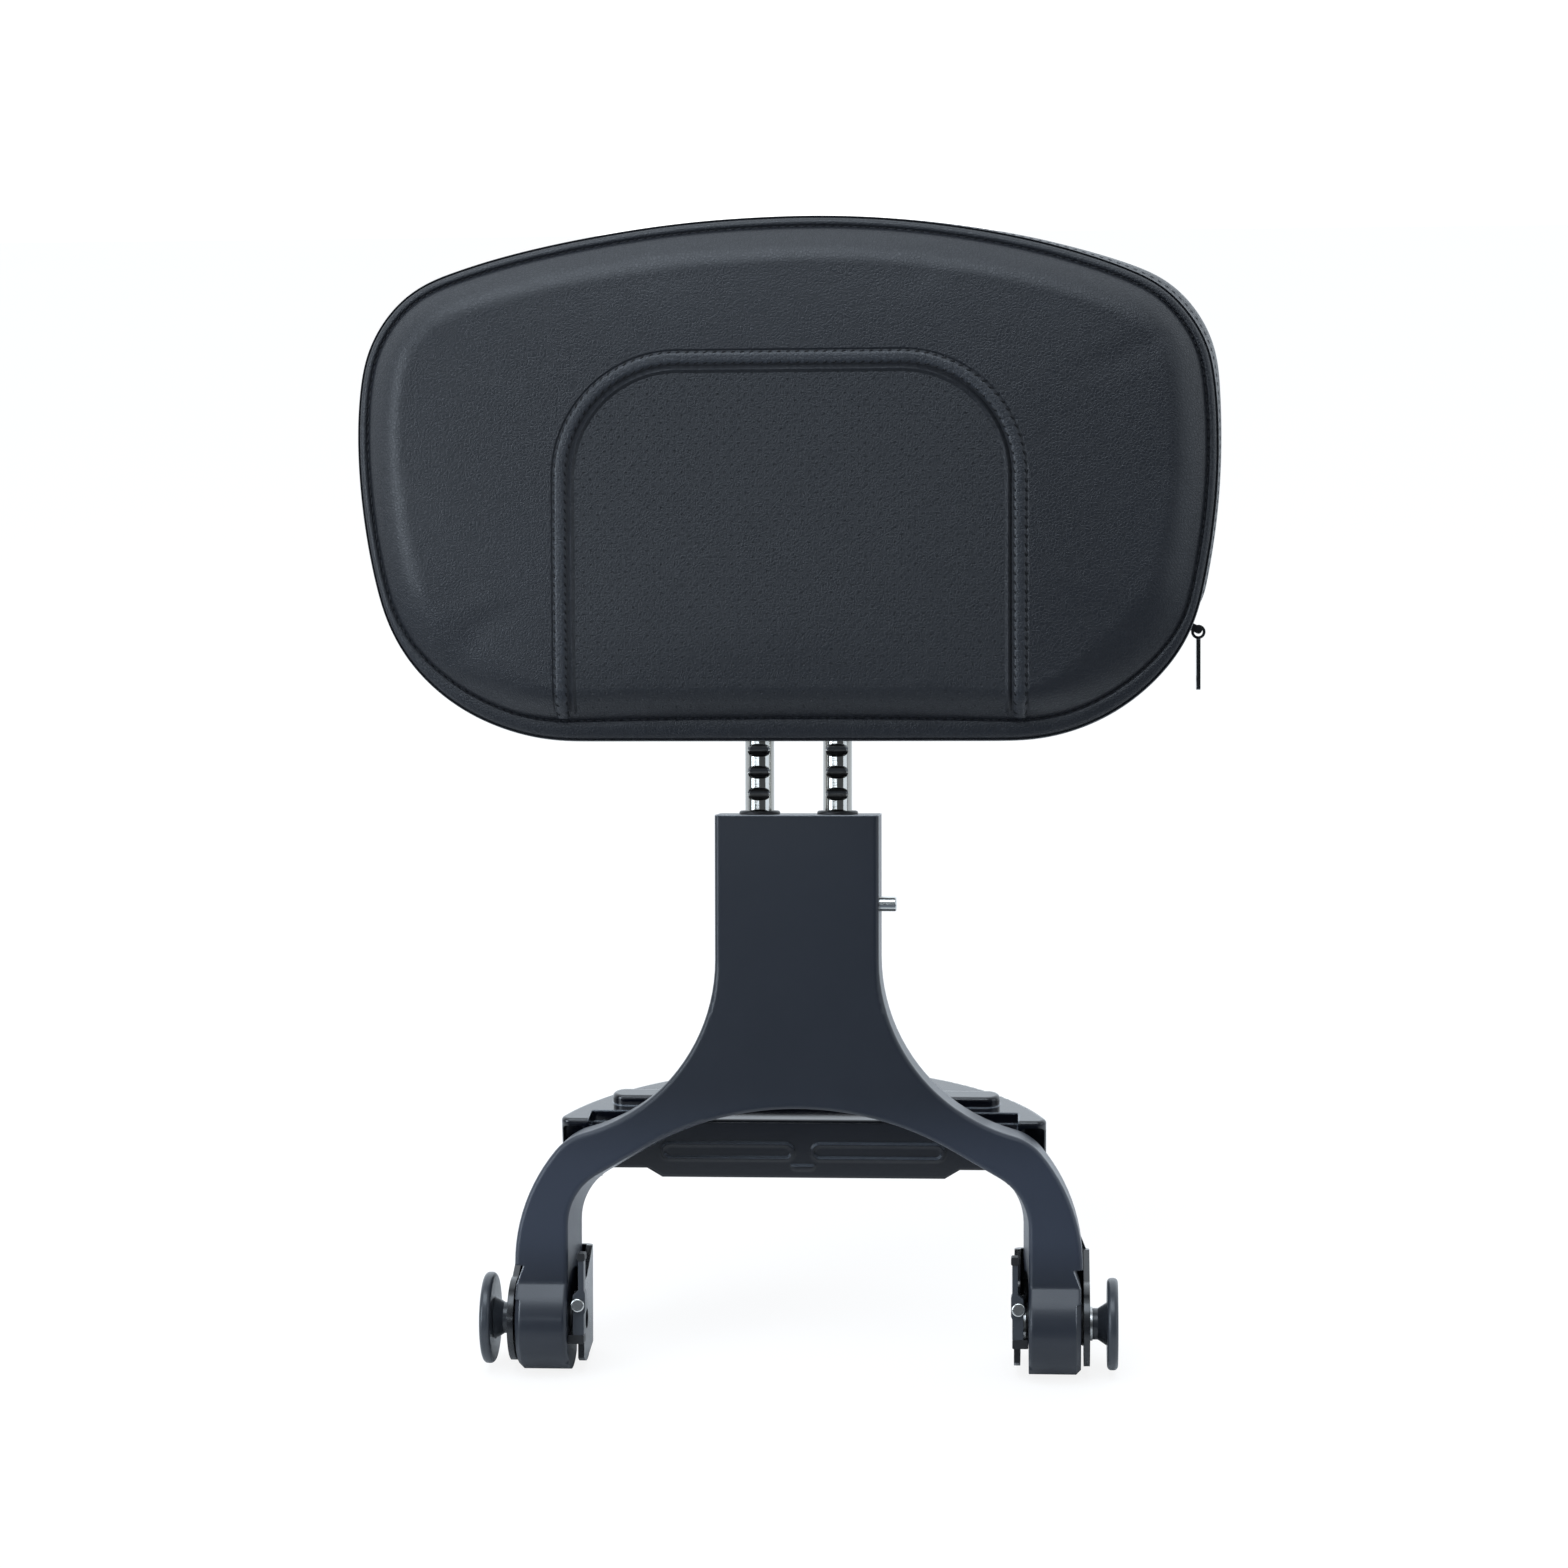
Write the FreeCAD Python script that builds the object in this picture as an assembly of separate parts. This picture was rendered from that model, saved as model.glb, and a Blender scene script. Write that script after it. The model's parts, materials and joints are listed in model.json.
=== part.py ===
import FreeCAD, Part
import math
import os

# Motorcycle driver backrest: a padded cushion on two notched posts, a cast wishbone that
# folds forward on two clamped pivots, and a half-moon bracket that bolts to the frame.
#
# Millimetres and degrees. +X is to the right as seen from the front, +Y is rearward and
# +Z is up. The origin is the centre of the four frame bolts, on the bracket's
# seating plane. Everything that tilts is drawn upright, in a frame whose origin is the
# middle of the pivot axis, and is leaned back into place at the end.

V = FreeCAD.Vector
ALONG_X = V(1, 0, 0)
ALONG_Y = V(0, 1, 0)
ALONG_Z = V(0, 0, 1)
SIDES = {"left": -1, "right": 1}

# Posture
recline = 12.0            # lean of the wishbone behind the vertical
pivot_drop = 54.7         # pivot axis below the seating plane
deck_gap = 4.0            # wishbone's rear face to the bracket's front edge, at deck height

# Bracket
deck_arc_radius = 111.0
deck_depth = 74.0
deck_height = 21.5
deck_skin = 3.5
bracket_wall = 3.0
bracket_corner = 4.0
bracket_round = 1.6
lip_drop = 4.0            # front wall hangs below the seating plane between the legs
lip_half_width = 60.0
lip_slope = 6.4
bolt_spacing_x = 84.0
bolt_spacing_y = 40.0
insert_bore = 8.0
insert_diameter = 12.0
insert_length = 14.0
boss_diameter = 18.0
web_thickness = 2.5
web_clearance = 6.0       # the ribs under the deck stop this far above the seating plane
keystone_half_width = 4.0 # small raised pad between the two loops
keystone_height = 2.4
keystone_slope = 1.2
keystone_bottom = -0.6
rail_half_length = 83.0   # raised rail across the deck
rail_width = 11.0
rail_height = 4.5
rail_setback = 18.0
rail_round = 1.5
recess_inner_x = 70.0
recess_outer_x = 91.0
recess_depth = 12.0
recess_drop = 5.0
recess_corner = 1.5
block_depth = 10.5
block_pocket_width = 9.0
block_pocket_height = 12.0
block_pocket_depth = 5.0
block_pocket_wall = 2.0
block_pocket_corner = 1.8
block_pocket_cap = 3.0
loop_inner_x = 3.4
loop_outer_x = 60.4
loop_height = 8.0
loop_rib = 1.6
loop_proud = 1.0
loop_centre_z = 7.6

# Wishbone casting
body_half_width = 34.0
body_depth = 28.0
body_top_z = 211.8
flare_start_z = 151.8
flare_radius = 75.0
flare_turn = 75.0
shoulder_radius = 22.0
shoulder_turn = 35.0
arm_outer_x = 118.0
inner_draft = 0.09        # the arch and the arms' inner sides thicken the casting to the rear
drum_outer_x = 117.2
drum_inner_x = 95.6
drum_radius = 21.0
drum_blend_z = 17.6
drum_blend_radius = 2.5
crotch_top_z = 90.0
crotch_radius = 130.0
crotch_turn = 30.0
arm_inner_radius = 24.0
casting_round = 2.0
ear_recess_top = 24.2
ear_recess_slope_z = 16.2
ear_recess_depth = 3.8
drum_rim_bevel = 2.0

# Pivot hardware
bushing_wall = 2.0
bushing_flange_radius = 8.5
bushing_flange = 1.0
stud_diameter = 8.0
running_clearance = 0.05
side_play = 0.1
yoke_plate = 2.6
yoke_web_top = 28.0
yoke_radius = 17.5
yoke_ear_front = -8.8      # the inner ear stops here, behind the latch lever
yoke_web_gap = 0.7
yoke_web_bottom = -12.0
yoke_splay = 17.0         # height over which the web widens to the tab
yoke_bend_radius = 4.0
nut_radius = 6.5
nut_gap = 0.1
nut_thickness = 2.4
knob_diameter = 38.0
knob_rim = 4.5
knob_rim_round = 1.8
knob_neck_diameter = 13.0
knob_hub_diameter = 18.0
knob_standoff = 6.0       # neck end to the back of the rim
knob_neck_length = 2.2
knob_rim_width = 5.0
knob_dish_width = 2.0
knob_dish = 1.2
knob_stud_grip = 1.5      # how far the stud reaches into the rim
washer_diameter = 14.0
washer_thickness = 1.0
leg_inner_x = 86.5
leg_outer_x = 106.0
leg_tab_depth = 25.5
leg_bolt_setbacks = (7.0, 19.0)
leg_bolt_diameter = 5.0
leg_bolt_head = 8.0
leg_bolt_head_height = 3.5
leg_bolt_reach = 9.0      # screw length inside the bracket
leg_bolt_wall = 0.6       # steel beside a bolt's head, to the tab's inner edge

# Latch
latch_pin_x = 91.5
latch_pin_z = 8.0
latch_pin_diameter = 3.2
latch_pin_head = 5.8
latch_pin_head_height = 1.5
latch_pin_end = -1.5      # how far back the rivet reaches into its lug
latch_spring_wire = 0.5
latch_spring_length = 1.6
latch_front_y = -15.0
latch_back_y = -9.0
latch_inner_x = 88.4
latch_outer_x = 93.5
latch_finger_width = 2.3
latch_waist = 0.5         # the finger and foot stand this far in from the body's inner side
latch_finger_top = 26.2
latch_tip_height = 3.4
latch_body_bottom = -4.6
latch_foot_height = 3.6
latch_foot_gap = 0.1
latch_lug_front = -6.4

# Posts and height lock
post_diameter = 12.0
post_spacing = 32.5
post_show = 31.8          # body top to the cushion's underside
post_reach = 160.0        # length of post inside the cushion
notch_pitch = 9.1
notch_diameter = 5.4
notch_depth = 2.2
steps_each_way = 3
lock_below_top = 37.0
lock_bar_diameter = 5.2
lock_tooth = 3.2
lock_bar_flat = 0.15
button_diameter = 6.2
button_proud = 7.0
button_travel = 6.5
spring_room = 10.0
spring_wire = 0.6
plug_length = 2.5
post_bushing_diameter = 16.0
post_bushing_length = 16.0
post_collar_diameter = 17.0
post_collar_height = 1.5

# Cushion
pad_half_width = 174.0
pad_height = 210.5
pad_top_radius = 445.0
pad_side_radius = 283.0
pad_waist_height = 126.8
pad_upper_corner = 43.0
pad_lower_corner = 79.0
pad_front_reach = 54.0    # front of the cushion, ahead of the post plane
pad_crown = 8.0
pad_rim_radius = 9.0
cover_thickness = 1.5
foam_clearance = 0.2
seam_inset = 5.7
seam_groove = 0.5
band_end_height = 54.9    # the side band gives way to the zipper gusset here
gusset_step = 1.2
zipper_width = 5.2
zipper_setback = 22.0
insert_half_width = 95.4
insert_top_height = 155.8
insert_corner_radius = 50.4
welt_width = 5.7
welt_proud = 0.8
board_thickness = 6.0
board_inset = 8.0
strap_thickness = 2.0
strap_height = 16.0
strap_half_length = 40.0
strap_low = 44.0
strap_high = 132.0
screw_diameter = 4.0
screw_head_diameter = 8.4
screw_head_height = 2.6
rear_cover_depth = 4.5
rear_cover_round = 3.5
slider_length = 9.0
slider_width = 9.0
slider_height = 1.0        # above the cushion's outline
slider_end_clearance = 0.4
pull_length = 24.5
pull_width = 6.0
pull_eye_width = 2.4
pull_thickness = 1.6
pull_pin_radius = 0.9
pull_corner = 1.2
pull_hole_radius = 1.3
pull_hole_rise = 4.5
pull_eye_radius = 2.9
pull_eye_hole = 1.8
cheek_half_height = 1.5
cheek_thickness = 1.1

# Sizes that follow from the ones above
lean = math.radians(recline)
body_half_depth = body_depth / 2
post_radius = post_diameter / 2
post_x = post_spacing / 2
deck_front_y = -deck_depth / 2
arc_centre_y = deck_depth / 2 - deck_arc_radius
deck_above_pivot = pivot_drop + deck_height
pivot_y = deck_front_y - (body_half_depth + deck_gap) / math.cos(lean) - deck_above_pivot * math.tan(lean)
lock_z = body_top_z - lock_below_top
lock_y = -post_radius + notch_depth - notch_diameter / 2
slide_travel = steps_each_way * notch_pitch
post_bottom_z = lock_z - slide_travel - notch_diameter / 2 - 3
post_bore_bottom_z = post_bottom_z - slide_travel - 2.5
pad_bottom_z = body_top_z + post_show
pad_mid_z = pad_bottom_z + pad_height / 2
pad_top_z = pad_bottom_z + pad_height
band_end_z = pad_bottom_z + band_end_height
pad_front_y = -pad_front_reach
seam_y = pad_front_y + pad_crown + pad_rim_radius + 0.6
board_back_y = -post_radius - running_clearance
board_front_y = board_back_y - board_thickness
band_back_y = post_radius + strap_thickness
rear_inner_y = band_back_y + rear_cover_depth - 2.0
rear_y = band_back_y + rear_cover_depth
bushing_radius = stud_diameter / 2 + running_clearance + bushing_wall
flange_outer_x = drum_outer_x + bushing_flange
flange_inner_x = drum_inner_x - bushing_flange
outer_ear_x = flange_outer_x + side_play
outer_ear_face_x = outer_ear_x + yoke_plate
nut_face_x = flange_inner_x - nut_gap
inner_ear_x = nut_face_x - nut_thickness
inner_ear_face_x = inner_ear_x - yoke_plate
web_front_y = drum_radius + yoke_web_gap
web_back_y = web_front_y + yoke_plate
beyond = 400.0            # reach of a cutting solid that has to pass right through


def box(x0, x1, y0, y1, z0, z1):
    """A block between two corners."""
    return Part.makeBox(x1 - x0, y1 - y0, z1 - z0, V(x0, y0, z0))


def rod(radius, start, end):
    """A cylinder from one point to another."""
    along = end - start
    return Part.makeCylinder(radius, along.Length, start, along)


def ring(outer, inner, start, end):
    """A tube from one point to another."""
    return rod(outer, start, end).cut(rod(inner, start, end))


def mirrored(shape):
    """The same shape on the other side of the middle plane."""
    return shape.mirror(V(0, 0, 0), ALONG_X)


def for_side(shape, side):
    """A right-hand shape, or its mirror image for the left."""
    return shape if side > 0 else mirrored(shape)


def fused(shapes):
    """Several overlapping or touching solids as one clean solid."""
    return shapes[0].multiFuse(shapes[1:]).removeSplitter()


def group(shapes):
    """Separate solids kept together in one node."""
    return Part.makeCompound([solid for shape in shapes for solid in shape.Solids])


def leaned(shape):
    """An upright shape, tilted about the pivot axis and moved to its place."""
    placed = shape.copy()
    placed.rotate(V(0, 0, 0), ALONG_X, -recline)
    placed.translate(V(0, pivot_y, -pivot_drop))
    return placed


def seat_height(y):
    """Where the seating plane cuts the upright frame at a given depth."""
    return (pivot_drop + y * math.sin(lean)) / math.cos(lean)


class Path:
    """A plane outline of straight runs and tangent arcs, drawn by heading in degrees."""

    def __init__(self, u, v, heading):
        self.u = u
        self.v = v
        self.heading = heading
        self.pieces = []

    def run(self, length):
        angle = math.radians(self.heading)
        self.to(self.u + length * math.cos(angle), self.v + length * math.sin(angle))

    def to(self, u, v):
        self.pieces.append(("line", (self.u, self.v), (u, v)))
        self.u = u
        self.v = v

    def bend(self, radius, degrees):
        """Positive degrees turn left."""
        side = 1 if degrees > 0 else -1
        start = math.radians(self.heading - 90 * side)
        cu = self.u - radius * math.cos(start)
        cv = self.v - radius * math.sin(start)
        middle = start + math.radians(degrees) / 2
        end = start + math.radians(degrees)
        points = [(cu + radius * math.cos(a), cv + radius * math.sin(a)) for a in (middle, end)]
        self.pieces.append(("arc", (self.u, self.v), points[0], points[1]))
        self.u, self.v = points[1]
        self.heading += degrees

    def face(self, place):
        """The closed outline as a face; place turns a (u, v) pair into a point."""
        edges = []
        for piece in self.pieces:
            points = [place(*pair) for pair in piece[1:]]
            if piece[0] == "line":
                edges.append(Part.makeLine(*points))
            else:
                edges.append(Part.Arc(*points).toShape())
        return Part.Face(Part.Wire(edges))


def in_front_view(y):
    """Places (u, v) as (x, z) at a given depth."""
    return lambda u, v: V(u, y, v)


def in_side_view(x):
    """Places (u, v) as (y, z) at a given offset from the middle."""
    return lambda u, v: V(x, u, v)


def in_plan(z):
    """Places (u, v) as (x, y) at a given height."""
    return lambda u, v: V(u, v, z)


def polygon(points, place):
    """A straight-sided face."""
    corners = [place(*pair) for pair in points]
    return Part.Face(Part.makePolygon(corners + corners[:1]))


def rounded_box(x0, x1, y0, y1, z0, z1, radius, axis):
    """A block whose four edges along one axis are rounded."""
    block = box(x0, x1, y0, y1, z0, z1)
    return block.makeFillet(radius, edges_along(block, axis))


def edges_along(shape, axis):
    """The straight edges of a shape that run along an axis."""
    found = []
    for edge in shape.Edges:
        if isinstance(edge.Curve, Part.Line) and abs(edge.tangentAt(edge.FirstParameter).dot(axis)) > 0.999:
            found.append(edge)
    return found


# Bracket

def deck_plan(inset):
    """The half-moon outline: a straight front and one arc behind."""
    front = deck_front_y + inset
    radius = deck_arc_radius - inset
    half = math.sqrt(radius ** 2 - (front - arc_centre_y) ** 2)
    arc = Part.Arc(V(half, front, 0), V(0, arc_centre_y + radius, 0), V(-half, front, 0)).toShape()
    return Part.Face(Part.Wire([Part.makeLine(V(-half, front, 0), V(half, front, 0)), arc]))


def frame_bolt_places():
    """The four frame bolts, a rectangle about the origin."""
    return [V(sx * bolt_spacing_x / 2, sy * bolt_spacing_y / 2, 0) for sx in (-1, 1) for sy in (-1, 1)]


def leg_bolt_places(side):
    """Two bolts hold each leg under its end block."""
    x = side * (leg_inner_x + leg_bolt_head / 2 + leg_bolt_wall)
    return [V(x, deck_front_y + setback, 0) for setback in leg_bolt_setbacks]


def front_loop(side):
    """A raised stadium-shaped frame on the front wall."""
    depth = loop_proud + bracket_wall / 2
    y0 = deck_front_y - loop_proud

    def stadium(shrink):
        half = loop_height / 2 - shrink
        return rounded_box(loop_inner_x + shrink, loop_outer_x - shrink, y0, y0 + depth,
                           loop_centre_z - half, loop_centre_z + half, half - 0.01, ALONG_Y)

    return for_side(stadium(0).cut(stadium(loop_rib)), side)


def front_lip():
    """The deeper middle of the front wall, with sloped ends."""
    wide = lip_half_width + lip_slope
    points = [(-wide, 0.5), (wide, 0.5), (wide, 0), (lip_half_width, -lip_drop),
              (-lip_half_width, -lip_drop), (-wide, 0)]
    return polygon(points, in_front_view(deck_front_y)).extrude(V(0, bracket_wall, 0))


def keystone():
    """A small trapezoid pad low on the front wall, between the two loops."""
    top = keystone_half_width + keystone_slope
    points = [(-keystone_half_width, keystone_bottom), (keystone_half_width, keystone_bottom),
              (top, keystone_bottom + keystone_height), (-top, keystone_bottom + keystone_height)]
    return polygon(points, in_front_view(deck_front_y - loop_proud)).extrude(V(0, bracket_wall, 0))


def bracket_shell():
    """The outer skin: rounded half-moon, hollow from below."""
    outer = deck_plan(0).extrude(V(0, 0, deck_height))
    outer = outer.makeFillet(bracket_corner, edges_along(outer, ALONG_Z))
    top = [edge for edge in outer.Edges if edge.BoundBox.ZMin > deck_height - 0.01]
    outer = outer.makeFillet(bracket_round, top)
    hollow = deck_plan(bracket_wall).extrude(V(0, 0, deck_height - deck_skin))
    return outer, outer.cut(hollow)


def mount_bracket():
    """The half-moon casting that carries the legs and bolts to the frame."""
    outer, shell = bracket_shell()
    roof = deck_height - deck_skin
    solids = [shell, front_lip()]
    for place in frame_bolt_places():
        solids.append(rod(boss_diameter / 2, place, place + V(0, 0, roof + 0.5)))
    for x in (-bolt_spacing_x / 2, bolt_spacing_x / 2):
        solids.append(box(x - web_thickness / 2, x + web_thickness / 2, deck_front_y + 1,
                          bolt_spacing_y / 2, web_clearance, roof + 0.5))
    for y in (-bolt_spacing_y / 2, bolt_spacing_y / 2):
        solids.append(box(-bolt_spacing_x / 2, bolt_spacing_x / 2, y - web_thickness / 2,
                          y + web_thickness / 2, web_clearance, roof + 0.5))
    blocks = []
    for side in SIDES.values():
        floor = box(recess_inner_x - bracket_wall, recess_outer_x + 1, deck_front_y,
                    deck_front_y + recess_depth + bracket_wall, roof - recess_drop, roof + 0.5)
        block = box(recess_outer_x, deck_arc_radius, deck_front_y, deck_front_y + block_depth, 0, roof + 0.5)
        blocks += [for_side(floor, side), for_side(block, side)]
        for place in leg_bolt_places(side):
            blocks.append(rod(leg_bolt_diameter, place, place + V(0, 0, roof - recess_drop + 0.5)))
    solids += [block.common(outer) for block in blocks]
    rail = rounded_box(-rail_half_length, rail_half_length, deck_front_y + rail_setback,
                       deck_front_y + rail_setback + rail_width, deck_height - 1, deck_height + rail_height,
                       rail_width / 2 - 0.01, ALONG_Z)
    rail = rail.makeFillet(rail_round, [e for e in rail.Edges if e.BoundBox.ZMin > deck_height + 0.1])
    solids.append(rail)
    solids += [front_loop(side) for side in SIDES.values()] + [keystone()]
    casting = fused(solids)
    for side in SIDES.values():
        recess = rounded_box(recess_inner_x, recess_outer_x, deck_front_y - 5, deck_front_y + recess_depth,
                             deck_height - recess_drop, deck_height + 5, recess_corner, ALONG_Z)
        pocket_x = recess_outer_x + block_pocket_wall
        pocket_top = deck_height - block_pocket_cap
        pocket = rounded_box(pocket_x, pocket_x + block_pocket_width, deck_front_y - 5,
                             deck_front_y + block_pocket_depth, pocket_top - block_pocket_height,
                             pocket_top, block_pocket_corner, ALONG_Y)
        casting = casting.cut(for_side(recess, side)).cut(for_side(pocket, side))
        for place in leg_bolt_places(side):
            bore_end = place + V(0, 0, leg_bolt_reach + 0.5)
            casting = casting.cut(rod(leg_bolt_diameter / 2, place - ALONG_Z, bore_end))
    for place in frame_bolt_places():
        casting = casting.cut(rod(insert_diameter / 2, place - ALONG_Z, place + V(0, 0, insert_length)))
    return casting


def threaded_inserts():
    """Brass inserts for the frame bolts."""
    inserts = []
    for place in frame_bolt_places():
        inserts.append(ring(insert_diameter / 2, insert_bore / 2, place, place + V(0, 0, insert_length)))
    return group(inserts)


# Leg yokes

def yoke_bends():
    """The channel round a drum: a rear web and two ears, seen in plan."""
    outer = rounded_box(inner_ear_face_x, outer_ear_face_x, -beyond, web_back_y, -yoke_radius,
                        yoke_web_top, yoke_bend_radius, ALONG_Z)
    inner = rounded_box(inner_ear_x, outer_ear_x, -beyond - 10, web_front_y, -yoke_radius - 1,
                        yoke_web_top + 1, yoke_bend_radius - yoke_plate, ALONG_Z)
    return outer.cut(inner)


def yoke_side_view():
    """Round ears about the pivot, running back into the web."""
    disc = rod(yoke_radius, V(0, 0, 0), V(beyond, 0, 0))
    points = [(0, yoke_radius), (0, -yoke_radius), (web_back_y + 1, yoke_web_bottom),
              (web_back_y + 1, yoke_web_top),
              (web_front_y - 3, yoke_web_top)]
    return disc.fuse(polygon(points, in_side_view(0)).extrude(V(beyond, 0, 0)))


def leg_yoke(side):
    """A pressed steel leg: channel round the drum, web behind the arm, tab under the bracket."""
    top = seat_height(web_back_y) + 5
    neck = yoke_web_top - 1
    inner_neck_x = drum_inner_x + 0.5
    points = [(inner_ear_face_x + 1, yoke_web_bottom), (outer_ear_face_x - 1, yoke_web_bottom),
              (outer_ear_face_x - 1, neck), (arm_outer_x - 5, neck + yoke_splay), (leg_outer_x, top),
              (leg_inner_x, top), (leg_inner_x, top - 6), (inner_neck_x, neck + yoke_splay - 2),
              (inner_neck_x, neck), (inner_ear_face_x + 1, neck)]
    web = polygon(points, in_front_view(web_front_y)).extrude(V(0, yoke_plate, 0))
    channel = yoke_bends().common(yoke_side_view())
    bores = rod(stud_diameter / 2 + 0.2, V(inner_ear_face_x - 1, 0, 0), V(outer_ear_face_x + 1, 0, 0))
    behind_lever = box(0, nut_face_x, -beyond, yoke_ear_front, -beyond, beyond)
    behind_spring = box(0, nut_face_x, -beyond, latch_lug_front, nut_radius - 2, beyond)
    channel = channel.cut(behind_lever).cut(behind_spring)
    lug = box(inner_ear_x - 1, nut_face_x - 0.4, latch_lug_front, -1, nut_radius + 0.3, latch_pin_z + 4.5)
    pin_bore = rod(latch_pin_diameter / 2, V(latch_pin_x, -beyond, latch_pin_z),
                   V(latch_pin_x, latch_pin_end, latch_pin_z))
    upright = leaned(fused([channel, web, lug]).cut(bores).cut(pin_bore))
    tab_front = pivot_y + web_front_y / math.cos(lean) + pivot_drop * math.tan(lean)
    tab = box(leg_inner_x, leg_outer_x, tab_front, deck_front_y + leg_tab_depth, -yoke_plate, 0)
    plan = deck_plan(0.5).extrude(V(0, 0, -yoke_plate))
    ahead = box(leg_inner_x, leg_outer_x, tab_front, deck_front_y + 1, -yoke_plate, 0)
    tab = fused([tab.common(plan), ahead])
    leg = fused([upright, tab]).cut(box(0, beyond, -beyond, beyond, 0, beyond))
    for place in leg_bolt_places(1):
        leg = leg.cut(rod(leg_bolt_diameter / 2, place - V(0, 0, yoke_plate + 1), place + ALONG_Z))
    return for_side(leg.removeSplitter(), side)


def leg_bolts():
    """Hexagon-head screws through each leg's tab into the bracket."""
    bolts = []
    for side in SIDES.values():
        for place in leg_bolt_places(side):
            under = place - V(0, 0, yoke_plate)
            corners = []
            for turn in range(6):
                angle = math.radians(60 * turn)
                reach = leg_bolt_head / 2 / math.cos(math.radians(30))
                corners.append(under + V(reach * math.cos(angle), reach * math.sin(angle), 0))
            head = Part.Face(Part.makePolygon(corners + corners[:1])).extrude(V(0, 0, -leg_bolt_head_height))
            bolts.append(fused([head, rod(leg_bolt_diameter / 2, under, place + V(0, 0, leg_bolt_reach))]))
    return group(bolts)


def pivot_nuts():
    """Round weld nuts on the inner ears, which the knob studs screw into."""
    nuts = []
    for side in SIDES.values():
        nuts.append(ring(nut_radius, stud_diameter / 2 + running_clearance,
                         V(side * inner_ear_x, 0, 0), V(side * nut_face_x, 0, 0)))
    return leaned(group(nuts))


# Knobs

def turned(points):
    """A solid of revolution about X from (x, radius) corners."""
    return polygon(points, in_plan(0)).revolve(V(0, 0, 0), ALONG_X, 360)


def clamp_knob(side):
    """A round knob with a dished face and a cone down to its neck."""
    neck = outer_ear_face_x + side_play + washer_thickness
    rim = neck + knob_standoff
    face = rim + knob_rim
    inside = knob_diameter / 2 - knob_rim_width
    points = [(neck, 0), (neck, knob_neck_diameter / 2), (neck + knob_neck_length, knob_neck_diameter / 2),
              (rim, knob_hub_diameter / 2), (rim, knob_diameter / 2), (face, knob_diameter / 2),
              (face, inside), (face - knob_dish, inside - knob_dish_width), (face - knob_dish, 0)]
    body = turned(points)
    rims = [e for e in body.Edges if abs(e.BoundBox.ZLength - knob_diameter) < 0.1]
    body = body.makeFillet(knob_rim_round, rims)
    body = body.cut(rod(stud_diameter / 2, V(neck - 1, 0, 0), V(rim + knob_stud_grip, 0, 0)))
    return leaned(for_side(body, side))


def knob_stud(side):
    """The threaded stud moulded into a knob; it crosses the drum and screws into the nut."""
    tip = inner_ear_x + 0.4
    rim = outer_ear_face_x + side_play + washer_thickness + knob_standoff
    stud = rod(stud_diameter / 2, V(tip, 0, 0), V(rim + knob_stud_grip, 0, 0))
    ends = [e for e in stud.Edges if abs(e.BoundBox.XMin - tip) < 0.01 and e.BoundBox.XLength < 0.1]
    return leaned(for_side(stud.makeChamfer(0.8, ends), side))


def knob_washer(side):
    """The washer between a knob and the outer ear."""
    start = outer_ear_face_x + side_play
    washer = ring(washer_diameter / 2, stud_diameter / 2 + running_clearance,
                  V(start, 0, 0), V(start + washer_thickness, 0, 0))
    return leaned(for_side(washer, side))


# Wishbone

def wishbone_front_view(y, thicker, inset):
    """Half of the front outline: body, flare, shoulder, arm and the arch between the arms.
    The arch and the arm's inner side can be thickened, and the outer side pulled in."""
    inner_x = drum_inner_x - thicker
    arch_z = crotch_top_z - thicker
    outer_x = arm_outer_x - inset
    foot = -drum_radius - 3
    path = Path(0, body_top_z - inset, 0)
    path.run(body_half_width - inset)
    path.heading = -90
    path.run(body_top_z - inset - flare_start_z)
    path.bend(flare_radius + inset, flare_turn)
    path.bend(shoulder_radius - inset, -shoulder_turn)
    fall = math.radians(-path.heading)
    path.bend((outer_x - path.u) / (1 - math.sin(fall)), -90 - path.heading)
    path.to(outer_x, foot)
    path.to(inner_x, foot)
    turn = math.radians(crotch_turn)
    straight = inner_x - crotch_radius * math.sin(turn) - arm_inner_radius * (1 - math.sin(turn))
    straight /= math.cos(turn)
    drop = crotch_radius * (1 - math.cos(turn)) + straight * math.sin(turn) + arm_inner_radius * math.cos(turn)
    path.to(inner_x, arch_z - drop)
    path.heading = 90
    path.bend(arm_inner_radius, 90 - crotch_turn)
    path.run(straight)
    path.bend(crotch_radius, crotch_turn)
    path.to(0, body_top_z - inset)
    return path.face(in_front_view(y))


def draft_wedge():
    """What the draft adds to the right half: nothing near the front, most at the rear."""
    start = casting_round - body_half_depth
    wires = []
    for y in (start, body_half_depth):
        thicker = inner_draft * (y - start - 1)
        wires.append(wishbone_front_view(y, thicker, casting_round).OuterWire)
    return Part.makeLoft(wires, True, True)


def wishbone_side_view():
    """The side outline: a flat plate that swells into a drum about the pivot."""
    reach = body_half_depth + drum_blend_radius
    swing = math.hypot(drum_blend_z, reach)
    turn = math.atan2(drum_blend_z, reach) - math.acos((drum_radius + drum_blend_radius) / swing)
    degrees = math.degrees(turn)
    path = Path(-body_half_depth, body_top_z, -90)
    path.run(body_top_z - drum_blend_z)
    path.bend(drum_blend_radius, -degrees)
    straight = path.u * math.sin(turn) + path.v * math.cos(turn)
    path.run(straight)
    path.bend(drum_radius, 180 + 2 * degrees)
    path.run(straight)
    path.bend(drum_blend_radius, -degrees)
    path.run(body_top_z - drum_blend_z)
    path.to(-body_half_depth, body_top_z)
    return path.face(in_side_view(-beyond))


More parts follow.
